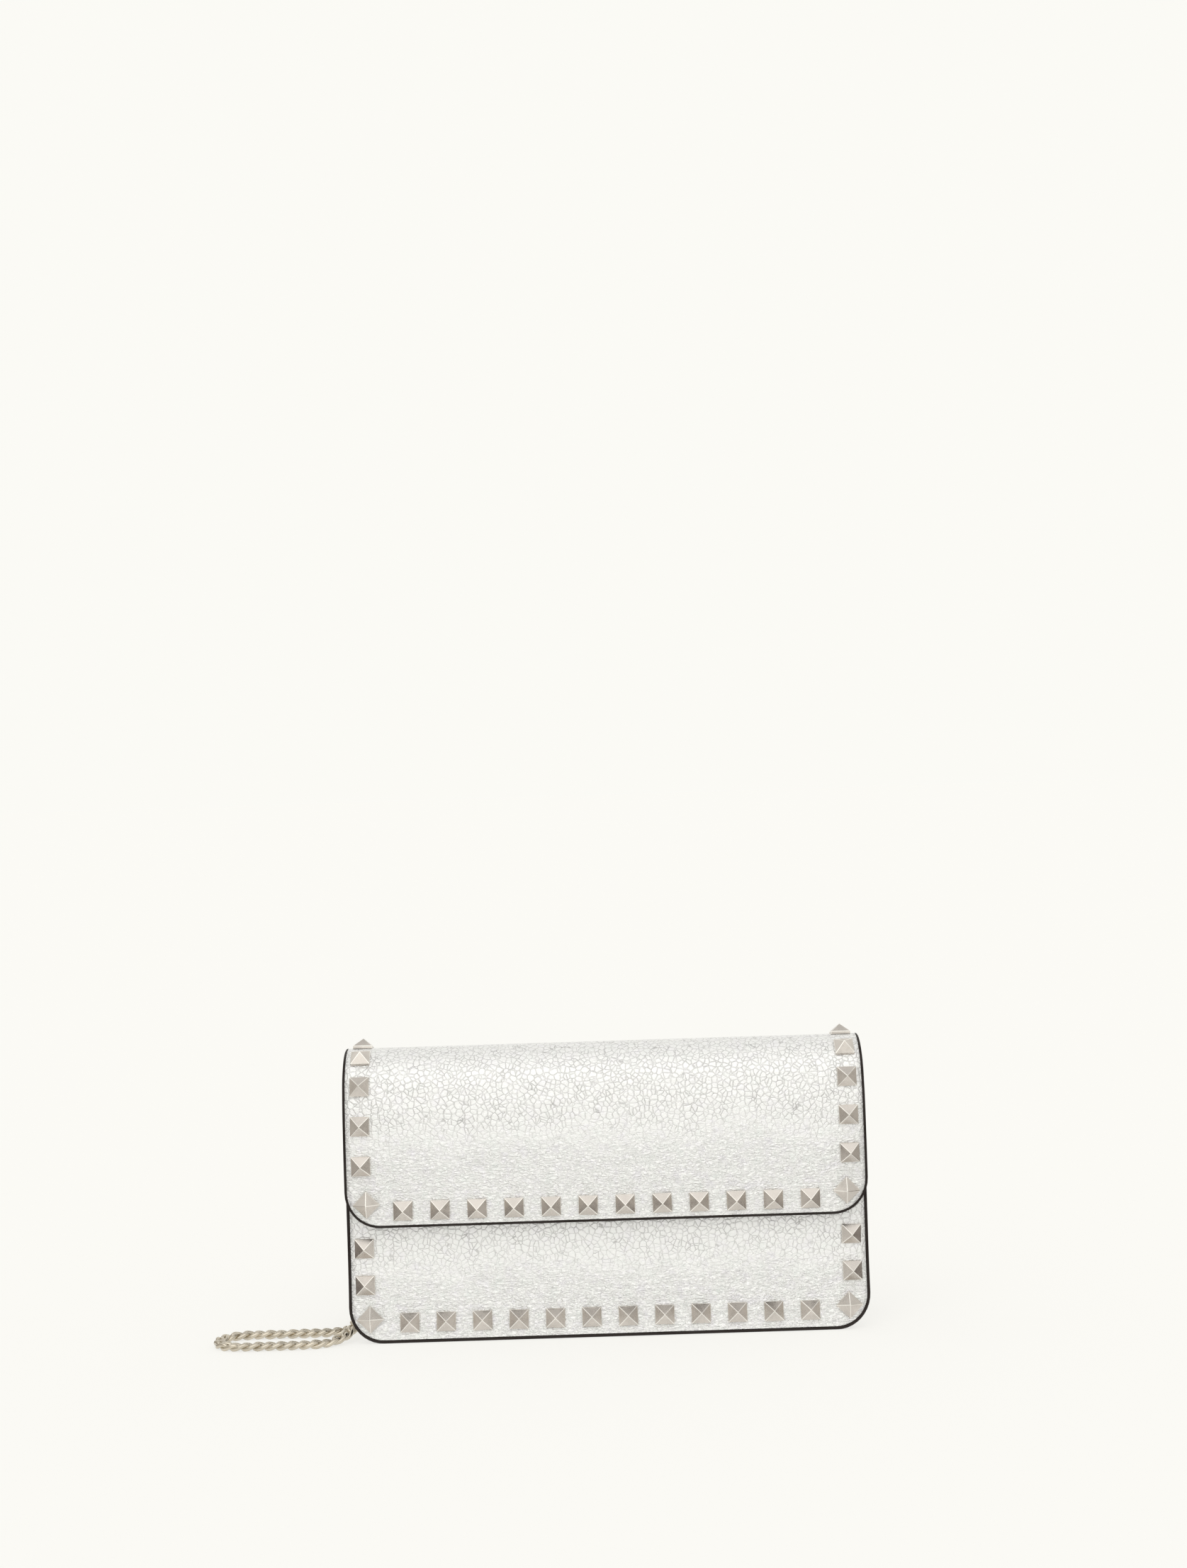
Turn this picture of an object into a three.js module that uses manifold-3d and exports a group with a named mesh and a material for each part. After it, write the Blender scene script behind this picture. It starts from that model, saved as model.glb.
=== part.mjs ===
// A studded flap wallet on a chain strap, in millimetres, +Z up, front towards -Y.
// The origin is the centre of the wallet's footprint, on the surface that it stands on.
// Every leather, lining, metal and zip piece is a solid of its own.
import * as THREE from 'three';
import { mergeVertices } from 'three/addons/utils/BufferGeometryUtils.js';
import Module from 'manifold-3d';

const wasm = await Module();
wasm.setup();

// ---- Driving dimensions ----
const WIDTH = 190; // front panel and flap, side to side
const HEIGHT = 105; // floor to the top of the fold
const CORNER = 13; // radius of the lower corners
const FOLD_RADIUS = 16.5; // outside of the flap's fold over the top
const FOLD_Y = 0.5; // middle of the fold, front to back
const FOLD_LEAN = 8; // degrees that the flap leans back where the fold begins
const FLAP_EDGE = 41.9; // height of the flap's lower edge
const PANEL_DROP = 19; // top of the fold down to the front panel's top
const PANEL_TOP = HEIGHT - PANEL_DROP;
const GAP = 0.3; // between pieces that touch

const LEATHER = 1.0; // outer leather
const INTERLINING = 0.8; // space between the leather and its lining
const LINING = 0.7; // lining leather
const SHELL = LEATHER + INTERLINING + LINING;

const FLANGE = 3.5; // how far the gusset lies inside the panels' edges
const GUSSET = 0.9; // gusset leather
const SEAM = 0.8; // gusset edge sewn to a panel
const GUSSET_TOP = PANEL_TOP - 2;

const STUD = 7; // side of a pyramid stud's square base
const STUD_HEIGHT = 3.4;
const STUD_SKIRT = 0.5; // upright rim below the pyramid's faces
const COLUMN_INSET = 6.4; // a panel's side to the middle of its column of studs
const DIAMOND_INSET = 8; // a panel's side to the middle of its corner stud
const STUD_COLUMN_X = WIDTH / 2 - COLUMN_INSET;
const STUD_DIAMOND_X = WIDTH / 2 - DIAMOND_INSET;
const STUDS_IN_ROW = 12;
const FLAP_ROW_INSET = 21.2; // a panel's side to the middle of the row's last stud
const FLAP_ROW_PITCH = (WIDTH - 2 * FLAP_ROW_INSET) / (STUDS_IN_ROW - 1);
const FLAP_ROW_Z = FLAP_EDGE + 6.1;
const PANEL_ROW_INSET = 22.3;
const PANEL_ROW_PITCH = (WIDTH - 2 * PANEL_ROW_INSET) / (STUDS_IN_ROW - 1);
const PANEL_ROW_Z = 7;
const FLAP_COLUMN = 2; // studs in a side column between the corner stud and the fold
// Degrees up round the fold, from facing forward. The two sides are set by hand and differ.
const FLAP_FOLD_ANGLES = { left: [15, 56, 98], right: [9.5, 50, 97] };
const FLAP_DIAMOND_Z = FLAP_EDGE + 8.6;
const PANEL_COLUMN_Z = [20.7, 34];
const PANEL_DIAMOND_Z = 8.4;
const POST = 3; // square post of a row stud
const STRIP = [0.3, 5]; // strip that the posts of a row stand on: thickness, height

const POCKET_INSET = 10.5; // a panel's side to the zip pocket's
const POCKET_X = WIDTH / 2 - POCKET_INSET;
const POCKET_Y = 2.5; // middle of the zip pocket
const POCKET_HALF = 2.2; // middle of the pocket to the inside of its walls
const POCKET_WALL = 0.8;
const POCKET_BOTTOM = FLANGE + GUSSET + 0.8;
const POCKET_TOP = PANEL_TOP - 8;
const TAPE = 0.5; // zip tape
const TAPE_HEIGHT = 8;
const TEETH = 1.35; // width of one row of zip teeth
const TEETH_HEIGHT = 2;
const TOOTH_PITCH = 3;
const SLIDER_LENGTH = 8;
const SLIDER_X = POCKET_X - 7.5; // slider's place with the zip closed
const SLIDER_WALL = 0.8;
const PULL_LENGTH = 17;
const PULL_WIDTH = 5;

const CARD_PANEL = 0.6;
const CARD_PANEL_X = POCKET_X - 0.5; // half width
const CARD_PANEL_DROPS = [7, 15, 23, 31]; // below the front panel's top

const SNAP_RADIUS = 7;
const SNAP_HEIGHT = 1.0;
const SNAP_Z = FLAP_EDGE + 18.1;
const SNAP_SPACE = SNAP_HEIGHT + 2 * GAP; // between the closed flap and the front panel

const RING_INSET = 17; // a panel's side to the middle of the strap ring
const RING_X = WIDTH / 2 - RING_INSET;
const RING_DROP = 39; // top of the fold down to the ring's straight bar
const RING_Z = HEIGHT - RING_DROP;
const RING_OUT = 4.2; // bar's middle behind the back panel
const RING_HALF = 7; // half the ring's width, wire middle to wire middle
const RING_LEG = 4; // straight part of each side
const WIRE = 1.1; // radius of the ring's wire
const TAB_WIDTH = 11;
const TAB_TOP = RING_Z + 14;
const TAB_PLIES = 2.8; // two plies of leather

const CLASP = 3; // thickness of a clasp
const EYE_RADIUS = 2.4; // swivel eye, to the middle of its wire
const EYE_WIRE = 0.8;

const CHAIN = 3.6; // chain's mean diameter
const HANK_STRAIGHT = 55; // straight part of the hank's runs
const HANK_RADIUS = 15.3; // outermost turn, to its middle
const HANK_X = 5;
const HANK_Y = 47.7;
const HANK_LAYERS = 2;
const LAYER = 3.2; // one layer of chain on another
const TIE = 0.5; // band round the hank
const TIE_WIDTH = 4;

// ---- Materials ----
const SILVER = new THREE.MeshStandardMaterial({ color: 0xdfdfdc, roughness: 0.45, metalness: 0.6 });
const LINED = new THREE.MeshStandardMaterial({ color: 0xb8b4ac, roughness: 0.7, metalness: 0 });
const NICKEL = new THREE.MeshStandardMaterial({ color: 0xbfb6a8, roughness: 0.3, metalness: 1 });
const TAPE_CLOTH = new THREE.MeshStandardMaterial({ color: 0x8e8b86, roughness: 0.9, metalness: 0 });
const BLACK = new THREE.MeshStandardMaterial({ color: 0x1b1918, roughness: 0.6, metalness: 0 });

const wallet = new THREE.Group();

function add(name, geometry, material) {
  const mesh = new THREE.Mesh(geometry, material);
  mesh.name = name;
  wallet.add(mesh);
  return mesh;
}

// ---- Solids ----
function merged(geometry) {
  const plain = geometry.clone();
  plain.deleteAttribute('normal');
  plain.deleteAttribute('uv');
  return mergeVertices(plain, 1e-4);
}

function solid(geometry) {
  const plain = merged(geometry);
  return new wasm.Manifold(
    new wasm.Mesh({
      numProp: 3,
      vertProperties: new Float32Array(plain.attributes.position.array),
      triVerts: new Uint32Array(plain.index.array),
    }),
  );
}

function geometryOf(body) {
  const mesh = body.getMesh();
  const geometry = new THREE.BufferGeometry();
  geometry.setAttribute('position', new THREE.BufferAttribute(mesh.vertProperties, 3));
  geometry.setIndex(new THREE.BufferAttribute(mesh.triVerts, 1));
  return geometry;
}

function box(x0, x1, y0, y1, z0, z1) {
  const geometry = new THREE.BoxGeometry(x1 - x0, y1 - y0, z1 - z0);
  return geometry.translate((x0 + x1) / 2, (y0 + y1) / 2, (z0 + z1) / 2);
}

// A cylinder along X, Y or Z, about a middle point.
function rod(radius, length, axis, x, y, z, sides = 12) {
  const geometry = new THREE.CylinderGeometry(radius, radius, length, sides);
  if (axis === 'x') geometry.rotateZ(Math.PI / 2);
  if (axis === 'z') geometry.rotateX(Math.PI / 2);
  return geometry.translate(x, y, z);
}

// Carries an outline drawn in (Y, Z) along X, from x0 to x1.
function alongX(shape, x0, x1, segments = 6) {
  const options = { depth: x1 - x0, bevelEnabled: false, curveSegments: segments };
  const geometry = new THREE.ExtrudeGeometry(shape, options);
  const turn = new THREE.Matrix4().set(0, 0, 1, x0, 1, 0, 0, 0, 0, 1, 0, 0, 0, 0, 0, 1);
  return geometry.applyMatrix4(turn);
}

// Carries an outline drawn in (X, Z) along Y, from y0 to y1.
function alongY(shape, y0, y1, segments = 6) {
  const options = { depth: y1 - y0, bevelEnabled: false, curveSegments: segments };
  const geometry = new THREE.ExtrudeGeometry(shape, options);
  return geometry.rotateX(Math.PI / 2).translate(0, y1, 0);
}

// The front view of a panel: straight sides and top, rounded lower corners.
function panelOutline(inset, bottom, top) {
  const side = WIDTH / 2 - inset;
  const radius = CORNER - inset;
  const low = bottom + inset;
  const shape = new THREE.Shape();
  shape.moveTo(side, top);
  shape.lineTo(-side, top);
  shape.lineTo(-side, low + radius);
  shape.absarc(-side + radius, low + radius, radius, Math.PI, 1.5 * Math.PI, false);
  shape.lineTo(side - radius, low);
  shape.absarc(side - radius, low + radius, radius, 1.5 * Math.PI, 2 * Math.PI, false);
  return shape;
}

const ALL_DEPTH = 60; // more than any panel's depth, for cutting right through
function panelPrism(inset, bottom, top) {
  return solid(alongY(panelOutline(inset, bottom, top), -ALL_DEPTH, ALL_DEPTH));
}

// ---- Side view of the front panel and of the flap, as lines of (Y, Z) points ----
const FOLD_Z = HEIGHT - FOLD_RADIUS;
const BACK_Y = FOLD_Y + FOLD_RADIUS; // outside of the back panel
const OVERRUN = 4; // lines run past the outlines that trim them

function radians(degrees) {
  return (degrees * Math.PI) / 180;
}

// A point on the outside of the fold, by how far its normal is turned up from facing forward.
function onFold(degrees) {
  const angle = radians(degrees);
  const y = FOLD_Y - FOLD_RADIUS * Math.cos(angle);
  return new THREE.Vector2(y, FOLD_Z + FOLD_RADIUS * Math.sin(angle));
}

const foldStart = onFold(FOLD_LEAN);
const LEAN_START = FOLD_Z - 15; // below this the flap hangs upright
const hangY = foldStart.x - (foldStart.y - LEAN_START) * Math.tan(radians(FOLD_LEAN));
const HANGING = LEAN_START - FLAP_EDGE;
const EDGE_FLARE = 0.35; // the flap's lower edge stands a little forward
const flapFront = new THREE.SplineCurve([
  new THREE.Vector2(hangY - EDGE_FLARE - 0.2, FLAP_EDGE - OVERRUN),
  new THREE.Vector2(hangY - EDGE_FLARE, FLAP_EDGE),
  new THREE.Vector2(hangY, FLAP_EDGE + 0.38 * HANGING),
  new THREE.Vector2(hangY + 0.15, LEAN_START - 0.16 * HANGING),
  new THREE.Vector2((hangY + foldStart.x) / 2 - 0.2, (LEAN_START + foldStart.y) / 2 + 1),
  foldStart,
]);

const FOLD_STEPS = 16;
const FRONT_STEPS = 14;
const flapLine = flapFront.getPoints(FRONT_STEPS);
for (let i = 1; i <= FOLD_STEPS; i++) {
  flapLine.push(onFold(FOLD_LEAN + ((180 - FOLD_LEAN) * i) / FOLD_STEPS));
}

const BEHIND_FLAP = SHELL + SNAP_SPACE; // flap's outside to the front panel's outside
const TOE = 3.9; // how far the front panel's foot stands forward of its middle
const panelY = hangY + BEHIND_FLAP;
const panelFront = new THREE.SplineCurve([
  new THREE.Vector2(panelY - TOE - 0.9, -OVERRUN),
  new THREE.Vector2(panelY - TOE, 0),
  new THREE.Vector2(panelY - 1.7, LEAN_START * 0.15),
  new THREE.Vector2(panelY - 0.4, LEAN_START * 0.3),
  new THREE.Vector2(panelY, LEAN_START * 0.49),
  new THREE.Vector2(panelY, LEAN_START * 0.73),
  new THREE.Vector2(panelY + 0.3, LEAN_START - 5),
  new THREE.Vector2(foldStart.x + BEHIND_FLAP - 0.5, PANEL_TOP + OVERRUN),
]);
const panelLine = panelFront.getPoints(22);

// Where a side-view line stands at a height, and the way its outside faces there.
function onFront(curve, height) {
  const points = curve.getPoints(200);
  const i = Math.max(1, points.findIndex((point) => point.y >= height));
  const share = (height - points[i - 1].y) / (points[i].y - points[i - 1].y);
  const along = points[i].clone().sub(points[i - 1]);
  const point = points[i - 1].clone().addScaledVector(along, share);
  return { point, tilt: Math.atan2(along.x, along.y) };
}

// Moves every point of a line inwards, square to the line. The lines run upwards at the front.
function inwards(line, distance) {
  return line.map((point, i) => {
    const before = line[Math.max(0, i - 1)];
    const after = line[Math.min(line.length - 1, i + 1)];
    const along = after.clone().sub(before).normalize();
    return new THREE.Vector2(point.x + along.y * distance, point.y - along.x * distance);
  });
}

function sheet(line, from, to) {
  const outline = [...inwards(line, from), ...inwards(line, to).reverse()];
  return solid(alongX(new THREE.Shape(outline), -WIDTH / 2 - 1, WIDTH / 2 + 1));
}

// ---- Studs ----
// A pyramid on a low rim, its base at y = 0 and its point towards -Y.
function pyramid() {
  const reach = STUD / Math.SQRT2;
  const profile = [
    new THREE.Vector2(0, 0),
    new THREE.Vector2(reach, 0),
    new THREE.Vector2(reach, STUD_SKIRT),
    new THREE.Vector2(0, STUD_HEIGHT),
  ];
  return new THREE.LatheGeometry(profile, 4).rotateY(Math.PI / 4).rotateX(Math.PI);
}

// Turns a stud's geometry to a face and carries it there. spin 45 makes a diamond.
function seat(geometry, x, place, tilt, spin = 0) {
  geometry.rotateY(radians(spin));
  geometry.rotateX(-tilt);
  const lift = new THREE.Vector2(-Math.cos(tilt), Math.sin(tilt)).multiplyScalar(GAP);
  return geometry.translate(x, place.x + lift.x, place.y + lift.y);
}

function addStud(name, x, place, tilt, spin = 0) {
  add(name, seat(pyramid(), x, place, tilt, spin), NICKEL);
}

function rowPlaces(pitch) {
  const middle = (STUDS_IN_ROW - 1) / 2;
  return Array.from({ length: STUDS_IN_ROW }, (_, i) => (i - middle) * pitch);
}

const STRIP_DEPTH = LEATHER + GAP + 0.25; // leather's outside to the strip, from a stud's base
// Row studs stand on posts that go through the leather to one strip behind it.
function addStudRow(name, curve, height, pitch) {
  const { point, tilt } = onFront(curve, height);
  const places = rowPlaces(pitch);
  const end = places[places.length - 1] + POST;
  const [thick, tall] = STRIP;
  let row = solid(box(-end, end, STRIP_DEPTH, STRIP_DEPTH + thick, -tall / 2, tall / 2));
  for (const x of places) {
    row = row.add(solid(pyramid().translate(x, 0, 0)));
    const half = POST / 2;
    row = row.add(solid(box(x - half, x + half, -0.1, STRIP_DEPTH + 0.1, -half, half)));
  }
  add(name, seat(geometryOf(row), 0, point, tilt), NICKEL);
}

// Holes for a row's posts, as one cutting solid.
function postHoles(curve, height, pitch) {
  const { point, tilt } = onFront(curve, height);
  const half = POST / 2 + GAP;
  const holes = rowPlaces(pitch).map((x) =>
    solid(seat(box(x - half, x + half, -1, LEATHER + GAP + 0.2, -half, half), 0, point, tilt)),
  );
  return holes.reduce((all, hole) => all.add(hole));
}

// ---- Flap ----
const flapPrism = panelPrism(0, FLAP_EDGE, HEIGHT + OVERRUN);
const snapOnFlap = onFront(flapFront, SNAP_Z);

const flapLeather = sheet(flapLine, 0, LEATHER)
  .intersect(flapPrism)
  .subtract(postHoles(flapFront, FLAP_ROW_Z, FLAP_ROW_PITCH));
add('flap_leather', geometryOf(flapLeather), SILVER);

const snapHole = rod(SNAP_RADIUS + GAP, 2 * SHELL, 'y', 0, snapOnFlap.point.x + SHELL, SNAP_Z, 20);
const flapLining = sheet(flapLine, SHELL - LINING, SHELL).intersect(flapPrism);
add('flap_lining', geometryOf(flapLining.subtract(solid(snapHole))), LINED);

// A turned piece about a line along +Y, from a profile of [radius, distance along].
function turned(points, x, y, z, sides = 20) {
  const profile = points.map(([radius, along]) => new THREE.Vector2(radius, along));
  return new THREE.LatheGeometry(profile, sides).translate(x, y, z);
}

// The snap's halves lie in the flap's lining and on the front panel.
const NUB = 0.5;
const snapBack = snapOnFlap.point.x + LEATHER + GAP;
const snapFace = snapOnFlap.point.x + SHELL - snapBack;
const snapStud = [
  [0, 0],
  [SNAP_RADIUS, 0],
  [SNAP_RADIUS, snapFace],
  [1.6, snapFace],
  [1.6, snapFace + NUB],
  [0, snapFace + NUB],
];
add('snap_stud', turned(snapStud, 0, snapBack, SNAP_Z), NICKEL);

for (const [side, sign] of [['left', -1], ['right', 1]]) {
  const angles = FLAP_FOLD_ANGLES[side];
  const columnStep = (onFold(angles[0]).y - FLAP_DIAMOND_Z) / (FLAP_COLUMN + 1);
  for (let i = 1; i <= FLAP_COLUMN; i++) {
    const { point, tilt } = onFront(flapFront, FLAP_DIAMOND_Z + i * columnStep);
    addStud(`flap_stud_${side}_${i}`, sign * STUD_COLUMN_X, point, tilt);
  }
  angles.forEach((angle, i) => {
    const number = FLAP_COLUMN + i + 1;
    const name = `flap_stud_${side}_${number}`;
    addStud(name, sign * STUD_COLUMN_X, onFold(angle), radians(angle));
  });
  const corner = onFront(flapFront, FLAP_DIAMOND_Z);
  addStud(`flap_stud_${side}_corner`, sign * STUD_DIAMOND_X, corner.point, corner.tilt, 45);
}
addStudRow('flap_stud_row', flapFront, FLAP_ROW_Z, FLAP_ROW_PITCH);

// ---- Front panel ----
const panelShape = panelPrism(0, 0, PANEL_TOP);
const panelLeather = sheet(panelLine, 0, LEATHER)
  .intersect(panelShape)
  .subtract(postHoles(panelFront, PANEL_ROW_Z, PANEL_ROW_PITCH));
add('front_panel', geometryOf(panelLeather), SILVER);
add('front_lining', geometryOf(sheet(panelLine, SHELL - LINING, SHELL).intersect(panelShape)), LINED);

for (const [side, sign] of [['left', -1], ['right', 1]]) {
  PANEL_COLUMN_Z.forEach((height, i) => {
    const { point, tilt } = onFront(panelFront, height);
    addStud(`panel_stud_${side}_${i + 1}`, sign * STUD_COLUMN_X, point, tilt);
  });
  const corner = onFront(panelFront, PANEL_DIAMOND_Z);
  addStud(`panel_stud_${side}_corner`, sign * STUD_DIAMOND_X, corner.point, corner.tilt, 45);
}
addStudRow('panel_stud_row', panelFront, PANEL_ROW_Z, PANEL_ROW_PITCH);

const SOCKET_HOLE = 3;
const snapOnPanel = onFront(panelFront, SNAP_Z);
const socket = [
  [SOCKET_HOLE, 0],
  [SNAP_RADIUS, 0],
  [SNAP_RADIUS, SNAP_HEIGHT],
  [SOCKET_HOLE, SNAP_HEIGHT],
  [SOCKET_HOLE, 0],
];
const socketY = snapOnPanel.point.x - GAP - SNAP_HEIGHT;
add('snap_socket', turned(socket, 0, socketY, SNAP_Z), NICKEL);

// ---- Back panel ----
const backTop = FOLD_Z - GAP;
const backShape = panelPrism(0, 0, backTop);
const backLeather = solid(box(-WIDTH, WIDTH, BACK_Y - LEATHER, BACK_Y, -1, HEIGHT));
add('back_panel', geometryOf(backLeather.intersect(backShape)), SILVER);
const backLining = solid(box(-WIDTH, WIDTH, BACK_Y - SHELL, BACK_Y - SHELL + LINING, -1, HEIGHT));
add('back_lining', geometryOf(backLining.intersect(backShape)), LINED);

// ---- Gusset: one strip down a side, along the bottom and up the other, its edges turned out ----
const backSeam = BACK_Y - SHELL - GAP;
const frontSeam = inwards(panelLine, SHELL + GAP);
const between = new THREE.Shape([
  ...frontSeam,
  new THREE.Vector2(backSeam, HEIGHT),
  new THREE.Vector2(backSeam, -2 * OVERRUN),
]);
const betweenPanels = solid(alongX(between, -WIDTH, WIDTH));
const inside = panelPrism(FLANGE + GUSSET, 0, HEIGHT);
const web = panelPrism(FLANGE, 0, GUSSET_TOP).subtract(inside).intersect(betweenPanels);
const rim = panelPrism(0, 0, GUSSET_TOP).subtract(inside);
const frontRim = sheet(panelLine, SHELL + GAP, SHELL + GAP + SEAM).intersect(rim);
const backRim = solid(box(-WIDTH, WIDTH, backSeam - SEAM, backSeam, -1, HEIGHT)).intersect(rim);
add('gusset', geometryOf(web.add(frontRim).add(backRim)), SILVER);

// ---- Zip pocket between the two compartments ----
const wallOut = POCKET_HALF + POCKET_WALL;
for (const [name, sign] of [['front', -1], ['back', 1]]) {
  const near = POCKET_Y + sign * POCKET_HALF;
  const far = POCKET_Y + sign * wallOut;
  const wall = box(-POCKET_X, POCKET_X, Math.min(near, far), Math.max(near, far),
    POCKET_BOTTOM, POCKET_TOP);
  add(`zip_pocket_${name}`, wall, LINED);

  const tapeIn = POCKET_Y + sign * (POCKET_HALF - GAP - TAPE);
  const tapeOut = POCKET_Y + sign * (POCKET_HALF - GAP);
  const tape = box(-POCKET_X, POCKET_X, Math.min(tapeIn, tapeOut), Math.max(tapeIn, tapeOut),
    POCKET_TOP + 1.8 - TAPE_HEIGHT, POCKET_TOP + 1.8);
  add(`zip_tape_${name}`, tape, TAPE_CLOTH);
}

const teethZ = POCKET_TOP + 1.8 + GAP;
const TEETH_END = POCKET_X - 3; // half length of the teeth
const TOOTH_DEPTH = 0.6;
// One row of teeth, seen from above: straight behind, notched towards the other row.
function toothRow(sign) {
  const shape = new THREE.Shape();
  const back = sign * (TEETH + GAP / 2);
  const front = (sign * GAP) / 2;
  const valley = front + sign * TOOTH_DEPTH;
  const count = Math.floor((2 * TEETH_END) / TOOTH_PITCH);
  shape.moveTo(-TEETH_END, back);
  for (let i = 0; i < count; i++) {
    const x = -TEETH_END + i * TOOTH_PITCH;
    shape.lineTo(x, front);
    shape.lineTo(x + TOOTH_PITCH * 0.6, front);
    shape.lineTo(x + TOOTH_PITCH * 0.7, valley);
    shape.lineTo(x + TOOTH_PITCH * 0.9, valley);
  }
  shape.lineTo(-TEETH_END + count * TOOTH_PITCH, back);
  const options = { depth: TEETH_HEIGHT, bevelEnabled: false };
  return new THREE.ExtrudeGeometry(shape, options).translate(0, POCKET_Y, teethZ);
}
add('zip_teeth_front', toothRow(-1), NICKEL);
add('zip_teeth_back', toothRow(1), NICKEL);

const stopHalf = TEETH + GAP;
for (const [side, sign] of [['left', -1], ['right', 1]]) {
  const x0 = sign * (TEETH_END + GAP);
  const x1 = sign * (TEETH_END + GAP + 2);
  const stop = box(Math.min(x0, x1), Math.max(x0, x1), POCKET_Y - stopHalf, POCKET_Y + stopHalf,
    teethZ, teethZ + TEETH_HEIGHT + 0.6);
  add(`zip_stop_${side}`, stop, NICKEL);
}

// The slider straddles the teeth, with a bar over it that the pull hangs on.
const BAR = 0.6;
const sliderTop = teethZ + TEETH_HEIGHT + GAP;
const barZ = sliderTop + SLIDER_WALL + 1.8;
const cheek = TEETH + 2 * GAP;
function slider() {
  const x0 = SLIDER_X - SLIDER_LENGTH / 2;
  const x1 = SLIDER_X + SLIDER_LENGTH / 2;
  const out = cheek + SLIDER_WALL;
  const low = teethZ + 0.1;
  const top = sliderTop + SLIDER_WALL;
  let body = solid(box(x0, x1, POCKET_Y - out, POCKET_Y + out, sliderTop, top));
  for (const sign of [-1, 1]) {
    const y0 = POCKET_Y + Math.min(sign * cheek, sign * out);
    body = body.add(solid(box(x0, x1, y0, y0 + SLIDER_WALL, low, sliderTop + 0.1)));
    const post = POCKET_Y + sign * 1.8;
    body = body.add(solid(box(SLIDER_X - 0.8, SLIDER_X + 0.8, post - 0.4, post + 0.4,
      top - 0.1, barZ + 0.7)));
  }
  return body.add(solid(rod(BAR, 4, 'y', SLIDER_X, POCKET_Y, barZ)));
}
add('zip_slider', geometryOf(slider()), NICKEL);

const EYE = 1.5; // outer radius of the pull's eye
function pull() {
  const plate = new THREE.Shape();
  const half = PULL_WIDTH / 2;
  plate.moveTo(-1.6, -1);
  plate.lineTo(-4, -half);
  plate.lineTo(-PULL_LENGTH + half, -half);
  plate.absarc(-PULL_LENGTH + half, 0, half, 1.5 * Math.PI, 0.5 * Math.PI, true);
  plate.lineTo(-4, half);
  plate.lineTo(-1.6, 1);
  const hole = new THREE.Path();
  hole.absarc(-PULL_LENGTH + half + 0.4, 0, 1.1, 0, 2 * Math.PI, false);
  plate.holes.push(hole);
  const flat = new THREE.ExtrudeGeometry(plate, { depth: 1, bevelEnabled: false, curveSegments: 6 });
  flat.translate(SLIDER_X, POCKET_Y, barZ - 0.5);
  const outer = solid(rod(EYE, 2, 'y', SLIDER_X, POCKET_Y, barZ, 16));
  const bore = solid(rod(BAR + GAP, 4, 'y', SLIDER_X, POCKET_Y, barZ, 16));
  return outer.add(solid(flat).add(solid(box(SLIDER_X - 2.2, SLIDER_X - 1.1,
    POCKET_Y - 1, POCKET_Y + 1, barZ - 0.5, barZ + 0.5)))).subtract(bore);
}
add('zip_pull', geometryOf(pull()), NICKEL);

// ---- Card panels, stepped in front of the back lining ----
CARD_PANEL_DROPS.forEach((drop, i) => {
  const back = backSeam - i * (CARD_PANEL + GAP);
  const card = box(-CARD_PANEL_X, CARD_PANEL_X, back - CARD_PANEL, back,
    POCKET_BOTTOM + 0.8, PANEL_TOP - drop);
  add(`card_panel_${i + 1}`, card, LINED);
});

// ---- Strap rings, their leather tabs and the clasps, behind the back panel ----
const barY = BACK_Y + RING_OUT;
const ringBottom = RING_Z - RING_LEG - RING_HALF;

function wireTube(curve, radius, steps, sides = 8) {
  const section = new THREE.Shape();
  for (let i = 0; i < sides; i++) {
    const angle = (2 * Math.PI * (i + 0.5)) / sides;
    const x = radius * Math.cos(angle);
    const y = radius * Math.sin(angle);
    if (i === 0) section.moveTo(x, y);
    else section.lineTo(x, y);
  }
  const options = { steps, bevelEnabled: false, extrudePath: curve };
  return new THREE.ExtrudeGeometry(section, options);
}

function ringBow(x) {
  const bend = RING_Z - RING_LEG;
  const points = [new THREE.Vector3(x - RING_HALF, barY, RING_Z)];
  for (let i = 0; i <= 10; i++) {
    const angle = Math.PI + (Math.PI * i) / 10;
    const side = x + RING_HALF * Math.cos(angle);
    points.push(new THREE.Vector3(side, barY, bend + RING_HALF * Math.sin(angle)));
  }
  points.push(new THREE.Vector3(x + RING_HALF, barY, RING_Z));
  return new THREE.CatmullRomCurve3(points, false, 'centripetal');
}

const TAB_EYE = WIRE + GAP; // hole in the tab's loop
const TAB_LOOP = TAB_EYE + 1.3; // outside of the tab's loop
function tabShape() {
  const near = BACK_Y + GAP;
  const shape = new THREE.Shape();
  shape.moveTo(near, TAB_TOP);
  shape.lineTo(near, RING_Z);
  shape.lineTo(barY - 1.2, RING_Z - TAB_LOOP + 0.3);
  shape.absarc(barY, RING_Z, TAB_LOOP, 1.36 * Math.PI, 2.1 * Math.PI, false);
  shape.lineTo(near + TAB_PLIES, RING_Z + 8);
  shape.lineTo(near + TAB_PLIES, TAB_TOP);
  const hole = new THREE.Path();
  hole.absarc(barY, RING_Z, TAB_EYE, 0, 2 * Math.PI, false);
  shape.holes.push(hole);
  return shape;
}

// Clasp parts are drawn round the ring's lowest wire, in (Y, Z).
const HOOK = { y: 0.5, z: -0.9, inner: WIRE + 1.2, outer: WIRE + 3 };
const CLASP_LOW = -14;
const PIVOT = { y: 3.2, z: -8.8 };
const PIVOT_PIN = 0.5;
const NOSE = radians(-15);

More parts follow.
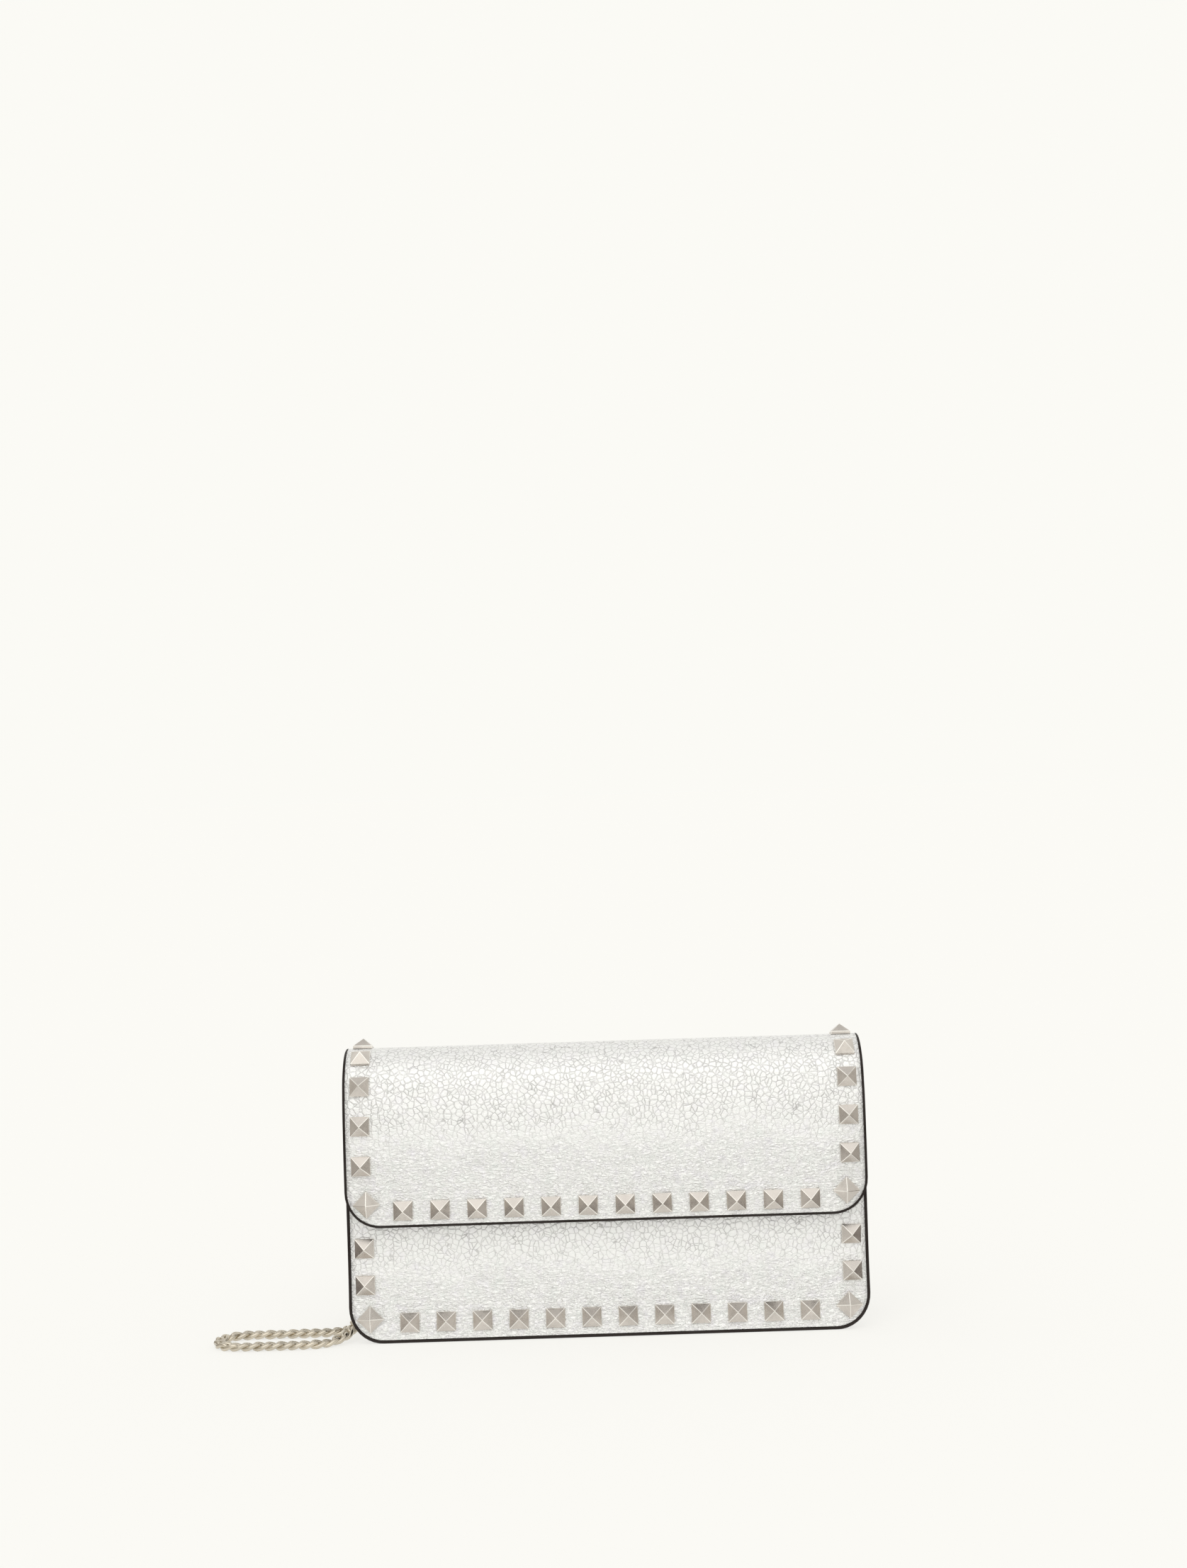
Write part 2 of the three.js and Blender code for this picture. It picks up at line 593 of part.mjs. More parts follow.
function claspBody(x) {
  const shape = new THREE.Shape();
  const { y, z, inner, outer } = HOOK;
  shape.moveTo(y - outer, CLASP_LOW + 1);
  shape.lineTo(y - outer, z);
  shape.absarc(y, z, outer, Math.PI, NOSE, true);
  shape.lineTo(y + inner * Math.cos(NOSE), z + inner * Math.sin(NOSE));
  shape.absarc(y, z, inner, NOSE, Math.PI, false);
  shape.lineTo(y - inner, -6.6);
  shape.lineTo(3.6, -6.6);
  shape.lineTo(4.6, -7.4);
  shape.lineTo(4.6, CLASP_LOW + 1.6);
  shape.lineTo(3, CLASP_LOW);
  shape.lineTo(y - outer + 1, CLASP_LOW);
  const half = CLASP / 2;
  const raw = solid(alongX(shape, x - half, x + half, 8).translate(0, barY, ringBottom));
  const slot = box(x - 0.95, x + 0.95, barY + 1.2, barY + 7, ringBottom - 10.6, ringBottom - 5);
  const pinHole = rod(PIVOT_PIN + GAP, 2 * CLASP, 'x', x, barY + PIVOT.y, ringBottom + PIVOT.z);
  const stemHole = rod(EYE_WIRE + GAP, 4.8, 'z', x, barY, ringBottom + CLASP_LOW);
  return raw.subtract(solid(slot)).subtract(solid(pinHole)).subtract(solid(stemHole));
}

function claspLever(x) {
  const shape = new THREE.Shape();
  shape.moveTo(2.5, -2.5);
  shape.lineTo(2.2, PIVOT.z + 0.4);
  shape.absarc(PIVOT.y, PIVOT.z, 1.1, 0.88 * Math.PI, 1.8 * Math.PI, false);
  shape.lineTo(5.8, -9.2);
  shape.lineTo(6.2, -8);
  shape.lineTo(4.1, -6.8);
  shape.lineTo(4.1, -2.9);
  const blade = solid(alongX(shape, x - 0.6, x + 0.6).translate(0, barY, ringBottom));
  const pin = rod(PIVOT_PIN, CLASP - 0.2, 'x', x, barY + PIVOT.y, ringBottom + PIVOT.z);
  return blade.add(solid(pin));
}

const eyeZ = ringBottom + CLASP_LOW - 0.5 - EYE_RADIUS - EYE_WIRE;
function swivel(x) {
  const eye = new THREE.TorusGeometry(EYE_RADIUS, EYE_WIRE, 8, 16).rotateX(Math.PI / 2);
  const stem = rod(EYE_WIRE - 0.1, 3.2, 'z', x, barY, ringBottom + CLASP_LOW + 0.4);
  return solid(eye.translate(x, barY, eyeZ)).add(solid(stem));
}

const RIVET = [[0, 0], [2.3, 0], [2.3, 0.3], [1.5, 0.8], [0, 0.9]];
const RIVET_Z = RING_Z + 10.2;
const rivetY = BACK_Y + GAP + TAB_PLIES + GAP;

for (const [side, sign] of [['left', -1], ['right', 1]]) {
  const x = sign * RING_X;
  add(`ring_tab_${side}`, alongX(tabShape(), x - TAB_WIDTH / 2, x + TAB_WIDTH / 2), SILVER);
  add(`tab_rivet_${side}`, turned(RIVET, x, rivetY, RIVET_Z, 14), NICKEL);
  const bar = solid(rod(WIRE, 2 * RING_HALF + 2 * WIRE, 'x', x, barY, RING_Z, 10));
  const bow = solid(wireTube(ringBow(x), WIRE, 28));
  add(`d_ring_${side}`, geometryOf(bar.add(bow)), NICKEL);
  add(`clasp_${side}`, geometryOf(claspBody(x)), NICKEL);
  add(`clasp_lever_${side}`, geometryOf(claspLever(x)), NICKEL);
  add(`swivel_${side}`, geometryOf(swivel(x)), NICKEL);
}

// The wallet without its strap is centred on the origin, front to back.
const footprint = new THREE.Box3();
for (const mesh of wallet.children) {
  if (!/^(clasp|swivel)/.test(mesh.name)) footprint.expandByObject(mesh);
}
const recentre = -(footprint.min.y + footprint.max.y) / 2;
for (const mesh of wallet.children) mesh.geometry.translate(0, recentre, 0);

// ---- Chain strap: both ends hang from the clasps, and the length in store lies in a hank ----
const leftRoute = [
  [-78, 20.2, 33.8], [-78, 20.2, 27], [-78, 20.3, 20], [-78.5, 21, 13.5], [-81, 22, 8.6],
  [-85.8, 22.6, 6.4], [-91.6, 20.8, 6], [-95.4, 16, 6], [-95.7, 9.6, 6], [-94.6, 3, 5.9],
  [-93.6, -3.5, 5.6], [-94, -9.6, 4.4], [-96.2, -15, 2.8], [-100.2, -19.4, 1.95],
  [-106.5, -21.8, 1.9], [-116, -22.4, 1.9], [-126, -22.4, 1.9], [-134.5, -22.3, 1.9],
  [-138.6, -21.2, 1.9], [-141.6, -18.2, 1.9], [-142.7, -14.1, 1.9], [-141.6, -10, 1.9],
  [-138.6, -7, 1.9], [-134.5, -5.9, 1.9], [-124, -5.8, 1.9], [-112, -5.7, 1.9],
  [-103, -5.2, 1.9], [-97, -2.2, 1.9], [-93.6, 3.6, 1.9],
  [-92.8, 11, 1.9], [-92.4, 18, 1.9], [-89.4, 24.6, 1.9], [-83, 28.8, 1.9], [-72, 31.2, 1.9],
  [-58, 32.2, 1.95], [-46, 32.4, 2.3], [-34.2, 32.4, 2.6],
];
const rightRoute = [
  [44.2, 32.4, 5.6], [50, 32.4, 4.2], [57, 32.1, 2.2], [64, 30.9, 1.9], [70.6, 28.2, 2.4],
  [75.4, 24.4, 5.6], [77.6, 21.6, 11.4], [78, 20.3, 18.6], [78, 20.2, 26], [78, 20.2, 33.8],
];

function route(points) {
  const vectors = points.map(([x, y, z]) => new THREE.Vector3(x, y, z));
  return new THREE.CatmullRomCurve3(vectors, false, 'centripetal');
}
add('chain_left', wireTube(route(leftRoute), CHAIN / 2, 74), NICKEL);
add('chain_right', wireTube(route(rightRoute), CHAIN / 2, 18), NICKEL);

// The hank's runs lie side by side in two layers, turned back round its two ends.
const hankRim = HANK_RADIUS + CHAIN / 2 + 0.4;
const hankBottom = TIE + GAP;
const hankHeight = (HANK_LAYERS - 1) * LAYER + CHAIN - 0.2;
const hank = new THREE.Shape();
hank.absarc(HANK_STRAIGHT / 2, 0, hankRim, -Math.PI / 2, Math.PI / 2, false);
hank.absarc(-HANK_STRAIGHT / 2, 0, hankRim, Math.PI / 2, 1.5 * Math.PI, false);
const hankSolid = new THREE.ExtrudeGeometry(hank, { depth: hankHeight, bevelEnabled: false });
add('chain_hank', hankSolid.translate(HANK_X, HANK_Y, hankBottom), NICKEL);

const tie = new THREE.Shape();
const tieOut = hankRim + GAP + TIE;
const tieTop = hankBottom + hankHeight + GAP + TIE;
tie.moveTo(HANK_Y - tieOut, 0);
tie.lineTo(HANK_Y + tieOut, 0);
tie.lineTo(HANK_Y + tieOut, tieTop);
tie.lineTo(HANK_Y - tieOut, tieTop);
const tieHole = new THREE.Path();
tieHole.moveTo(HANK_Y - tieOut + TIE, TIE);
tieHole.lineTo(HANK_Y - tieOut + TIE, tieTop - TIE);
tieHole.lineTo(HANK_Y + tieOut - TIE, tieTop - TIE);
tieHole.lineTo(HANK_Y + tieOut - TIE, TIE);
tie.holes.push(tieHole);
add('chain_tie', alongX(tie, HANK_X - TIE_WIDTH / 2, HANK_X + TIE_WIDTH / 2), BLACK);

export default wallet;
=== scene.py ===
"""Looks for a studded flap wallet on a chain strap. Metres, +Z up, front towards -Y."""

import math

import bmesh
import bpy
import numpy as np
from mathutils import Matrix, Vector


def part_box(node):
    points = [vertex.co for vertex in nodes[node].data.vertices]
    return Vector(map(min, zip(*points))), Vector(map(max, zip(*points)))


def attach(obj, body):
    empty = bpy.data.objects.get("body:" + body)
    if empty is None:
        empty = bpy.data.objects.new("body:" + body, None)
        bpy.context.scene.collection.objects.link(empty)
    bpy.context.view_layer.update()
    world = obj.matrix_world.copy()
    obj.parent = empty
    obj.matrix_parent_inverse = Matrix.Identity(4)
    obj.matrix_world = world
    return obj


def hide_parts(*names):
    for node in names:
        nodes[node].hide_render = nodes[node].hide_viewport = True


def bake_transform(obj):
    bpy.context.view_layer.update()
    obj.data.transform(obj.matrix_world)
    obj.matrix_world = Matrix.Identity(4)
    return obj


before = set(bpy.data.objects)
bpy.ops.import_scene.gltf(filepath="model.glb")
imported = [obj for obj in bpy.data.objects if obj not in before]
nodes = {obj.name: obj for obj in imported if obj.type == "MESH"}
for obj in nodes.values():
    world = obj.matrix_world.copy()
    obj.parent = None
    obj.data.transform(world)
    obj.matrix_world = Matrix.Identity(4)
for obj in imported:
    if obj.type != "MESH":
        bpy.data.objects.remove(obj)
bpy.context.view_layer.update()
scene = bpy.context.scene
MM = 0.001

# ---- Camera ----
SENSOR = 36  # mm, along the picture's long side
LENS = 49.64  # mm
CAMERA_PLACE = (0.0, -0.802, 0.2004)
CAMERA_ROLL = math.radians(1.8)

camera_data = bpy.data.cameras.new("camera")
camera_data.lens = LENS
camera_data.sensor_width = SENSOR
camera_data.clip_start = 0.01
camera = bpy.data.objects.new("camera", camera_data)
level = Matrix.Rotation(math.radians(90), 4, "X")
rolled = Matrix.Rotation(CAMERA_ROLL, 4, "Y")
camera.matrix_world = Matrix.Translation(CAMERA_PLACE) @ rolled @ level
scene.collection.objects.link(camera)
scene.camera = camera


# ---- Mesh helpers ----
def make_mesh(name, points, faces, materials, smooth=True, uv=None):
    """A linked object from points and faces. faces is one list, or one list for each material."""
    if not isinstance(materials, list):
        faces, materials = [faces], [materials]
    data = bpy.data.meshes.new(name)
    every = [tuple(int(i) for i in face) for group in faces for face in group]
    data.from_pydata([tuple(map(float, p)) for p in points], [], every)
    for material in materials:
        data.materials.append(material)
    index = np.concatenate([np.full(len(group), i) for i, group in enumerate(faces)])
    data.polygons.foreach_set("material_index", index.astype(np.int32))
    data.polygons.foreach_set("use_smooth", np.full(len(every), smooth))
    work = bmesh.new()
    work.from_mesh(data)
    bmesh.ops.recalc_face_normals(work, faces=work.faces)
    work.to_mesh(data)
    work.free()
    if uv is not None:
        corners = np.zeros(len(data.loops), np.int32)
        data.loops.foreach_get("vertex_index", corners)
        layer = data.uv_layers.new(name="surface")
        layer.data.foreach_set("uv", np.asarray(uv, np.float32)[corners].ravel())
    data.update()
    piece = bpy.data.objects.new(name, data)
    scene.collection.objects.link(piece)
    return piece


def grid_faces(rows, columns, first=0, around=False, along=False):
    """Faces of a grid of points held row by row. around joins its columns, along its rows."""
    faces = []
    for r in range(rows if along else rows - 1):
        for c in range(columns if around else columns - 1):
            a = first + r * columns + c
            b = first + r * columns + (c + 1) % columns
            down = ((r + 1) % rows) * columns
            faces.append((a, b, first + down + (c + 1) % columns, first + down + c))
    return faces


def resampled(line, step):
    """Points along a line of points, about a step apart."""
    line = np.asarray(line, float)
    reach = np.concatenate([[0], np.cumsum(np.linalg.norm(np.diff(line, axis=0), axis=1))])
    places = np.linspace(0, reach[-1], max(2, round(reach[-1] / step) + 1))
    return np.column_stack([np.interp(places, reach, line[:, k]) for k in range(line.shape[1])])


def curve_through(points, power=0.5, steps=12):
    """A Catmull-Rom curve through points: power 0.5 is centripetal, 0 is uniform."""
    points = np.asarray(points, float)
    ends = [2 * points[0] - points[1], *points, 2 * points[-1] - points[-2]]
    made = [points[0]]
    for p0, p1, p2, p3 in zip(ends, ends[1:], ends[2:], ends[3:]):
        spans = (p1 - p0, p2 - p1, p3 - p2)
        d0, d1, d2 = (max(np.linalg.norm(span), 1e-9) ** power for span in spans)
        leave = ((p1 - p0) / d0 - (p2 - p0) / (d0 + d1) + (p2 - p1) / d1) * d1
        arrive = ((p2 - p1) / d1 - (p3 - p1) / (d1 + d2) + (p3 - p2) / d2) * d1
        for i in range(1, steps + 1):
            t = i / steps
            made.append(
                (2 * t**3 - 3 * t**2 + 1) * p1
                + (t**3 - 2 * t**2 + t) * leave
                + (3 * t**2 - 2 * t**3) * p2
                + (t**3 - t**2) * arrive
            )
    return np.array(made)


# ---- Materials ----
class Shader:
    """A material's node tree, with short calls for the nodes that its pattern needs."""

    def __init__(self, name, colour, metallic, roughness, **values):
        self.material = bpy.data.materials.new(name)
        self.material.use_nodes = True
        self.tree = self.material.node_tree
        self.surface = self.tree.nodes["Principled BSDF"]
        self.surface.inputs["Base Color"].default_value = (*colour, 1)
        self.surface.inputs["Metallic"].default_value = metallic
        self.surface.inputs["Roughness"].default_value = roughness
        for key, value in values.items():
            self.surface.inputs[key.replace("_", " ")].default_value = value

    def node(self, kind, settings=None, **inputs):
        made = self.tree.nodes.new("ShaderNode" + kind)
        for key, value in (settings or {}).items():
            setattr(made, key, value)
        for key, value in inputs.items():
            self.put(value, made.inputs[key.replace("_", " ")])
        return made

    def put(self, value, socket):
        if isinstance(value, bpy.types.NodeSocket):
            self.tree.links.new(value, socket)
        else:
            socket.default_value = value

    def maths(self, operation, first, second=0.0, clamp=False):
        made = self.tree.nodes.new("ShaderNodeMath")
        made.operation = operation
        made.use_clamp = clamp
        self.put(first, made.inputs[0])
        self.put(second, made.inputs[1])
        return made.outputs[0]

    def ramp(self, value, low, high, start=0.0, end=1.0):
        """A smooth step from start to end as the value goes from low to high."""
        made = self.node("MapRange", {"interpolation_type": "SMOOTHSTEP"}, Value=value)
        ends = {"From Min": low, "From Max": high, "To Min": start, "To Max": end}
        for key, number in ends.items():
            made.inputs[key].default_value = number
        return made.outputs[0]

    def mix(self, share, first, second):
        made = self.tree.nodes.new("ShaderNodeMix")
        made.data_type = "RGBA"
        self.put(share, made.inputs[0])
        for value, socket in ((first, made.inputs[6]), (second, made.inputs[7])):
            self.put(value if isinstance(value, bpy.types.NodeSocket) else (*value, 1), socket)
        return made.outputs[2]

    def times(self, first, second):
        return self.maths("MULTIPLY", first, second)

    def noise(self, where, scale, detail=3.0, roughness=0.5):
        made = self.node(
            "TexNoise", None, Vector=where, Scale=scale, Detail=detail, Roughness=roughness
        )
        return made.outputs["Fac"]

    def cells(self, where, scale):
        """How far the place is from the nearest edge between random cells."""
        made = self.node("TexVoronoi", {"feature": "DISTANCE_TO_EDGE"}, Vector=where, Scale=scale)
        return made.outputs["Distance"]

    def stretched(self, where, x, y, z=1.0):
        made = self.node("Mapping", None, Vector=where)
        made.inputs["Scale"].default_value = (x, y, z)
        return made.outputs[0]

    def shaken(self, where, scale, by):
        """The place, moved about by noise."""
        noise = self.node("TexNoise", None, Vector=where, Scale=scale, Detail=2.0)
        centred = self.node("VectorMath", {"operation": "SUBTRACT"})
        self.put(noise.outputs["Color"], centred.inputs[0])
        centred.inputs[1].default_value = (0.5, 0.5, 0.5)
        moved = self.node("VectorMath", {"operation": "MULTIPLY_ADD"})
        self.put(centred.outputs[0], moved.inputs[0])
        moved.inputs[1].default_value = (by, by, by)
        self.put(where, moved.inputs[2])
        return moved.outputs[0]

    def bump(self, height, deep, strength=1.0):
        made = self.node("Bump", None, Height=height, Distance=deep, Strength=strength)
        self.put(made.outputs[0], self.surface.inputs["Normal"])

    def object_place(self):
        return self.node("TexCoord").outputs["Object"]

    def upright_place(self):
        """The place as seen from the back: X across and Z up."""
        x, y, z = self.node("SeparateXYZ", None, Vector=self.object_place()).outputs
        return self.node("CombineXYZ", None, X=x, Y=z, Z=y).outputs[0]

    def surface_place(self):
        return self.node("UVMap", {"uv_map": "surface"}).outputs[0]


EDGE_BLACK = (0.016, 0.0105, 0.0085)
FOIL_VIOLET = (0.92, 0.905, 0.945)
FOIL_SILVER = (0.945, 0.945, 0.935)
FOIL_GREEN = (0.91, 0.935, 0.915)
FOIL_COARSE = (0.80, 0.80, 0.795)
# Grey of the foil's cracks, also used as painted shade in the hollows of the fine wrinkles
FOIL_CRACK_AND_SHADE = (0.42, 0.415, 0.41)
FOIL_GLINT = (1.0, 1.0, 0.99)


def silver_leather(name, coarse_from, coarse_to, strip=None):
    """Foiled leather: coarse cracked cells between two places along the surface, fine wrinkles beyond,
    with painted shade in the wrinkles' hollows and painted glints.

    strip is for a part with no surface map: the middle and half width in X, in metres, of an upright
    strip whose two long edges are painted dark.
    """
    s = Shader(name, (0.8, 0.8, 0.79), 0.45, 0.4, Specular_IOR_Level=0.5)
    place = s.upright_place() if strip else s.surface_place()
    wander = s.shaken(place, 330.0, 0.0009)
    cell = s.cells(wander, 510.0)
    small = s.cells(s.shaken(place, 900.0, 0.0005), 1150.0)
    along = s.node("SeparateXYZ", None, Vector=s.shaken(place, 60.0, 0.018)).outputs[1]
    rise = s.ramp(along, coarse_from - 0.008, coarse_from + 0.012)
    fall = s.ramp(along, coarse_to - 0.006, coarse_to + 0.006, 1.0, 0.0)
    zone = s.times(rise, fall)  # 1 where the coarse cells are, 0 beyond
    fine = s.cells(s.shaken(s.stretched(place, 0.5, 1.15), 520.0, 0.0013), 760.0)
    worm = s.noise(s.shaken(s.stretched(place, 0.45, 1.2), 420.0, 0.0012), 640.0, 3.0, 0.6)
    ridge = s.maths("ABSOLUTE", s.maths("SUBTRACT", worm, 0.5))
    ridges = s.ramp(ridge, 0.0, 0.085, 1.0, 0.0)
    fine_height = s.ramp(fine, 0.0, 0.34)
    wrinkled = s.maths("ADD", s.times(fine_height, 0.55), s.times(ridges, 0.45))
    cell_height = s.ramp(cell, 0.0, 0.16)
    small_height = s.ramp(small, 0.0, 0.3)
    coarse = s.maths("ADD", s.times(cell_height, 0.4), s.times(small_height, 0.14))
    beyond = s.maths("SUBTRACT", 1.0, zone)
    blended = s.maths("ADD", s.times(coarse, zone), s.times(wrinkled, beyond))
    swell = s.noise(s.stretched(place, 0.7, 1.2), 330.0, 2.0)
    grit = s.noise(place, 3600.0, 2.0)
    uneven = s.maths("ADD", s.times(grit, 0.1), s.times(swell, 1.1))
    s.bump(s.maths("ADD", blended, uneven), 0.00032)
    creased = s.ramp(cell, 0.0, 0.07, 1.0, 0.0)
    patchy = s.ramp(s.noise(place, 170.0, 3.0, 0.6), 0.32, 0.68, 0.4, 1.0)
    coarse_lines = s.times(s.times(creased, zone), s.times(patchy, 0.95))
    # Painted shade: the hollows of the fine wrinkles are coloured darker
    shade = s.ramp(wrinkled, 0.15, 0.8, 1.0, 0.0)
    valley_shade = s.times(s.times(shade, beyond), 0.3)
    cracks_and_shade = s.maths("ADD", coarse_lines, valley_shade, clamp=True)
    hue = s.node("ValToRGB", None, Fac=s.noise(place, 210.0, 3.0, 0.7))
    stops = hue.color_ramp.elements
    for stop, position, tint in ((stops[0], 0.3, FOIL_VIOLET), (stops[1], 0.7, FOIL_GREEN)):
        stop.position, stop.color = position, (*tint, 1)
    stops.new(0.5).color = (*FOIL_SILVER, 1)
    base = s.mix(s.times(zone, 0.5), hue.outputs[0], FOIL_COARSE)
    # Cracks in the coarse zone and painted shade in the fine wrinkles' hollows, in one grey
    colour = s.mix(cracks_and_shade, base, FOIL_CRACK_AND_SHADE)
    glint = s.times(s.ramp(s.noise(place, 1100.0, 2.0), 0.56, 0.7), s.times(beyond, 0.8))
    colour = s.mix(glint, colour, FOIL_GLINT)
    if strip:
        middle, half = strip
        across = s.maths("ABSOLUTE", s.node("SeparateXYZ", None, Vector=s.object_place()).outputs[0])
        off = s.maths("ABSOLUTE", s.maths("SUBTRACT", across, middle))
        painted = s.ramp(off, half - 0.0007, half - 0.0005)
        colour = s.mix(painted, colour, EDGE_BLACK)
        s.put(s.ramp(painted, 0.0, 1.0, 0.45, 0.0), s.surface.inputs["Metallic"])
    s.put(colour, s.surface.inputs["Base Color"])
    s.put(s.ramp(s.noise(place, 900.0, 3.0), 0.25, 0.75, 0.28, 0.46), s.surface.inputs["Roughness"])
    return s.material


def plain_leather(name, colour, roughness=0.62):
    """Smooth lining leather with a fine pore pattern."""
    s = Shader(name, colour, 0.0, roughness, Specular_IOR_Level=0.35)
    place = s.object_place()
    pores = s.cells(s.shaken(place, 900.0, 0.0004), 1500.0)
    cloud = s.noise(place, 70.0, 4.0, 0.6)
    s.bump(s.maths("ADD", s.ramp(pores, 0.0, 0.3), s.times(cloud, 1.5)), 0.00004, 0.6)
    dark = tuple(c * 0.82 for c in colour)
    s.put(s.mix(s.ramp(cloud, 0.35, 0.7), dark, colour), s.surface.inputs["Base Color"])
    return s.material


def paint(name):
    """Dark edge paint: hard, a little uneven, half glossy."""
    s = Shader(name, EDGE_BLACK, 0.0, 0.5, Specular_IOR_Level=0.22)
    place = s.object_place()
    s.bump(s.noise(place, 450.0, 3.0), 0.00008, 0.5)
    s.put(s.ramp(s.noise(place, 300.0, 2.0), 0.3, 0.7, 0.42, 0.6), s.surface.inputs["Roughness"])
    return s.material


def plated(name, colour, roughness):
    """Warm nickel plate with faint clouding and fine wear."""
    s = Shader(name, colour, 1.0, roughness)
    place = s.object_place()
    cloud = s.noise(place, 160.0, 4.0, 0.6)
    wear = s.noise(s.stretched(place, 1.0, 1.0, 5.0), 2200.0, 3.0, 0.65)
    darker = tuple(c * 0.86 for c in colour)
    s.put(s.mix(s.ramp(cloud, 0.35, 0.65), darker, colour), s.surface.inputs["Base Color"])
    worn = s.maths("ADD", s.times(cloud, 0.6), s.times(wear, 0.4))
    rough = s.ramp(worn, 0.3, 0.7, roughness * 0.72, roughness * 1.35)
    s.put(rough, s.surface.inputs["Roughness"])
    s.bump(wear, 0.000012, 0.3)
    return s.material


def woven(name, colour):
    """Zip tape: a fine twill."""
    s = Shader(name, colour, 0.0, 0.85, Sheen_Weight=0.3)
    place = s.object_place()
    bands = {"wave_type": "BANDS", "bands_direction": "DIAGONAL"}
    twill = s.node("TexWave", bands, Vector=place, Scale=900.0).outputs["Fac"]
    s.bump(twill, 0.00008, 0.7)
    dark = tuple(c * 0.6 for c in colour)
    s.put(s.mix(twill, dark, colour), s.surface.inputs["Base Color"])
    return s.material


flap_leather = silver_leather("silver_leather_cover", 0.030, 0.104)
panel_leather = silver_leather("silver_leather_front", 0.024, 0.060)
trim_leather = silver_leather("silver_leather_trim", -0.5, -0.4)
low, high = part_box("ring_tab_right")
tab_strip = ((low.x + high.x) / 2, (high.x - low.x) / 2)
tab_leather = silver_leather("silver_leather_tab", -0.5, -0.4, tab_strip)
edge_paint = paint("edge_paint")
lining = plain_leather("lining_leather", (0.42, 0.395, 0.36))
stud_metal = plated("stud_nickel", (0.68, 0.635, 0.59), 0.27)
# A brighter, glossier copy of the stud nickel for the studs' softened edges: painted highlight
ridge_highlight_metal = plated("stud_ridge_painted_highlight", (0.93, 0.90, 0.85), 0.16)
chain_metal = plated("chain_nickel", (0.66, 0.60, 0.50), 0.2)
fitting_metal = plated("fitting_nickel", (0.68, 0.63, 0.56), 0.22)
tape_cloth = woven("zip_tape_cloth", (0.20, 0.19, 0.175))
tie_rubber = plain_leather("tie_rubber", (0.02, 0.02, 0.02), 0.5)
thread = plain_leather("thread", (0.62, 0.61, 0.58), 0.7)


# ---- Chain strap: its route in mm, as in the CAD source ----
LEFT_ROUTE = [
    (-78, 20.2, 33.8), (-78, 20.2, 27), (-78, 20.3, 20), (-78.5, 21, 13.5), (-81, 22, 8.6),
    (-85.8, 22.6, 6.4), (-91.6, 20.8, 6), (-95.4, 16, 6), (-95.7, 9.6, 6), (-94.6, 3, 5.9),
    (-93.6, -3.5, 5.6), (-94, -9.6, 4.4), (-96.2, -15, 2.8), (-100.2, -19.4, 1.95),
    (-106.5, -21.8, 1.9), (-116, -22.4, 1.9), (-126, -22.4, 1.9), (-134.5, -22.3, 1.9),
    (-138.6, -21.2, 1.9), (-141.6, -18.2, 1.9), (-142.7, -14.1, 1.9), (-141.6, -10, 1.9),
    (-138.6, -7, 1.9), (-134.5, -5.9, 1.9), (-124, -5.8, 1.9), (-112, -5.7, 1.9),
    (-103, -5.2, 1.9), (-97, -2.2, 1.9), (-93.6, 3.6, 1.9), (-92.8, 11, 1.9), (-92.4, 18, 1.9),
    (-89.4, 24.6, 1.9), (-83, 28.8, 1.9), (-72, 31.2, 1.9), (-58, 32.2, 1.95), (-46, 32.4, 2.3),
    (-34.2, 32.4, 2.6),
]
RIGHT_ROUTE = [
    (44.2, 32.4, 5.6), (50, 32.4, 4.2), (57, 32.1, 2.2), (64, 30.9, 1.9), (70.6, 28.2, 2.4),
    (75.4, 24.4, 5.6), (77.6, 21.6, 11.4), (78, 20.3, 18.6), (78, 20.2, 26), (78, 20.2, 33.8),
]
HANK_MIDDLE = (5, 47.7)
HANK_STRAIGHT = 55
HANK_TURNS = [(15.3, 2.5), (10.8, 2.5), (10.8, 5.5), (15.3, 5.5)]  # radius, height
LINK_PITCH = 4.15
LINK_WIRE = 1.66
LINK_WIDTH = 4.5
LINK_SLACK = 0.3
LINK_TWIST = math.radians(-62)
FLOOR_DROP = 0.45  # flat links lie this much lower than the route's round section
DROP_BELOW, DROP_OVER = 2.3, 0.4  # the height under which they do, and over which it sets in
LYING_BELOW, HANGING_ABOVE = 6, 22  # heights between which the links turn from flat to on edge
HANG_TOP, HANG_END = 0.034, 0.005  # m, a top and a bottom height over each chain's first point


def hank_route():
    """The hank's turns, from the front run of the first to the front run's end of the last."""
    x, y = HANK_MIDDLE
    half = HANK_STRAIGHT / 2
    points = []
    for turn, (radius, height) in enumerate(HANK_TURNS):
        if turn == 0:
            points += [(x + k * half, y - radius, height) for k in (-0.9, -0.3, 0.3, 0.9)]
        for side, begin in ((1, -90), (-1, 90)):
            for step in range(7):
                angle = math.radians(begin + 30 * step)
                reach = radius * math.cos(angle)
                points.append((x + side * half + reach, y + radius * math.sin(angle), height))
            if side == 1:
                points += [(x + k * half, y + radius, height) for k in (0.5, 0, -0.5)]
        if turn + 1 < len(HANK_TURNS):
            wide, tall = HANK_TURNS[turn + 1]
            for k in (0.25, 0.5, 0.75):
                share = k * k * (3 - 2 * k)
                run = y - radius + share * (radius - wide)
                points.append((x + (2 * k - 1) * half, run, height + share * (tall - height)))
    radius, height = HANK_TURNS[-1]
    return points + [(x + k * half, y - radius, height) for k in (-0.4, 0.3, 0.95)]


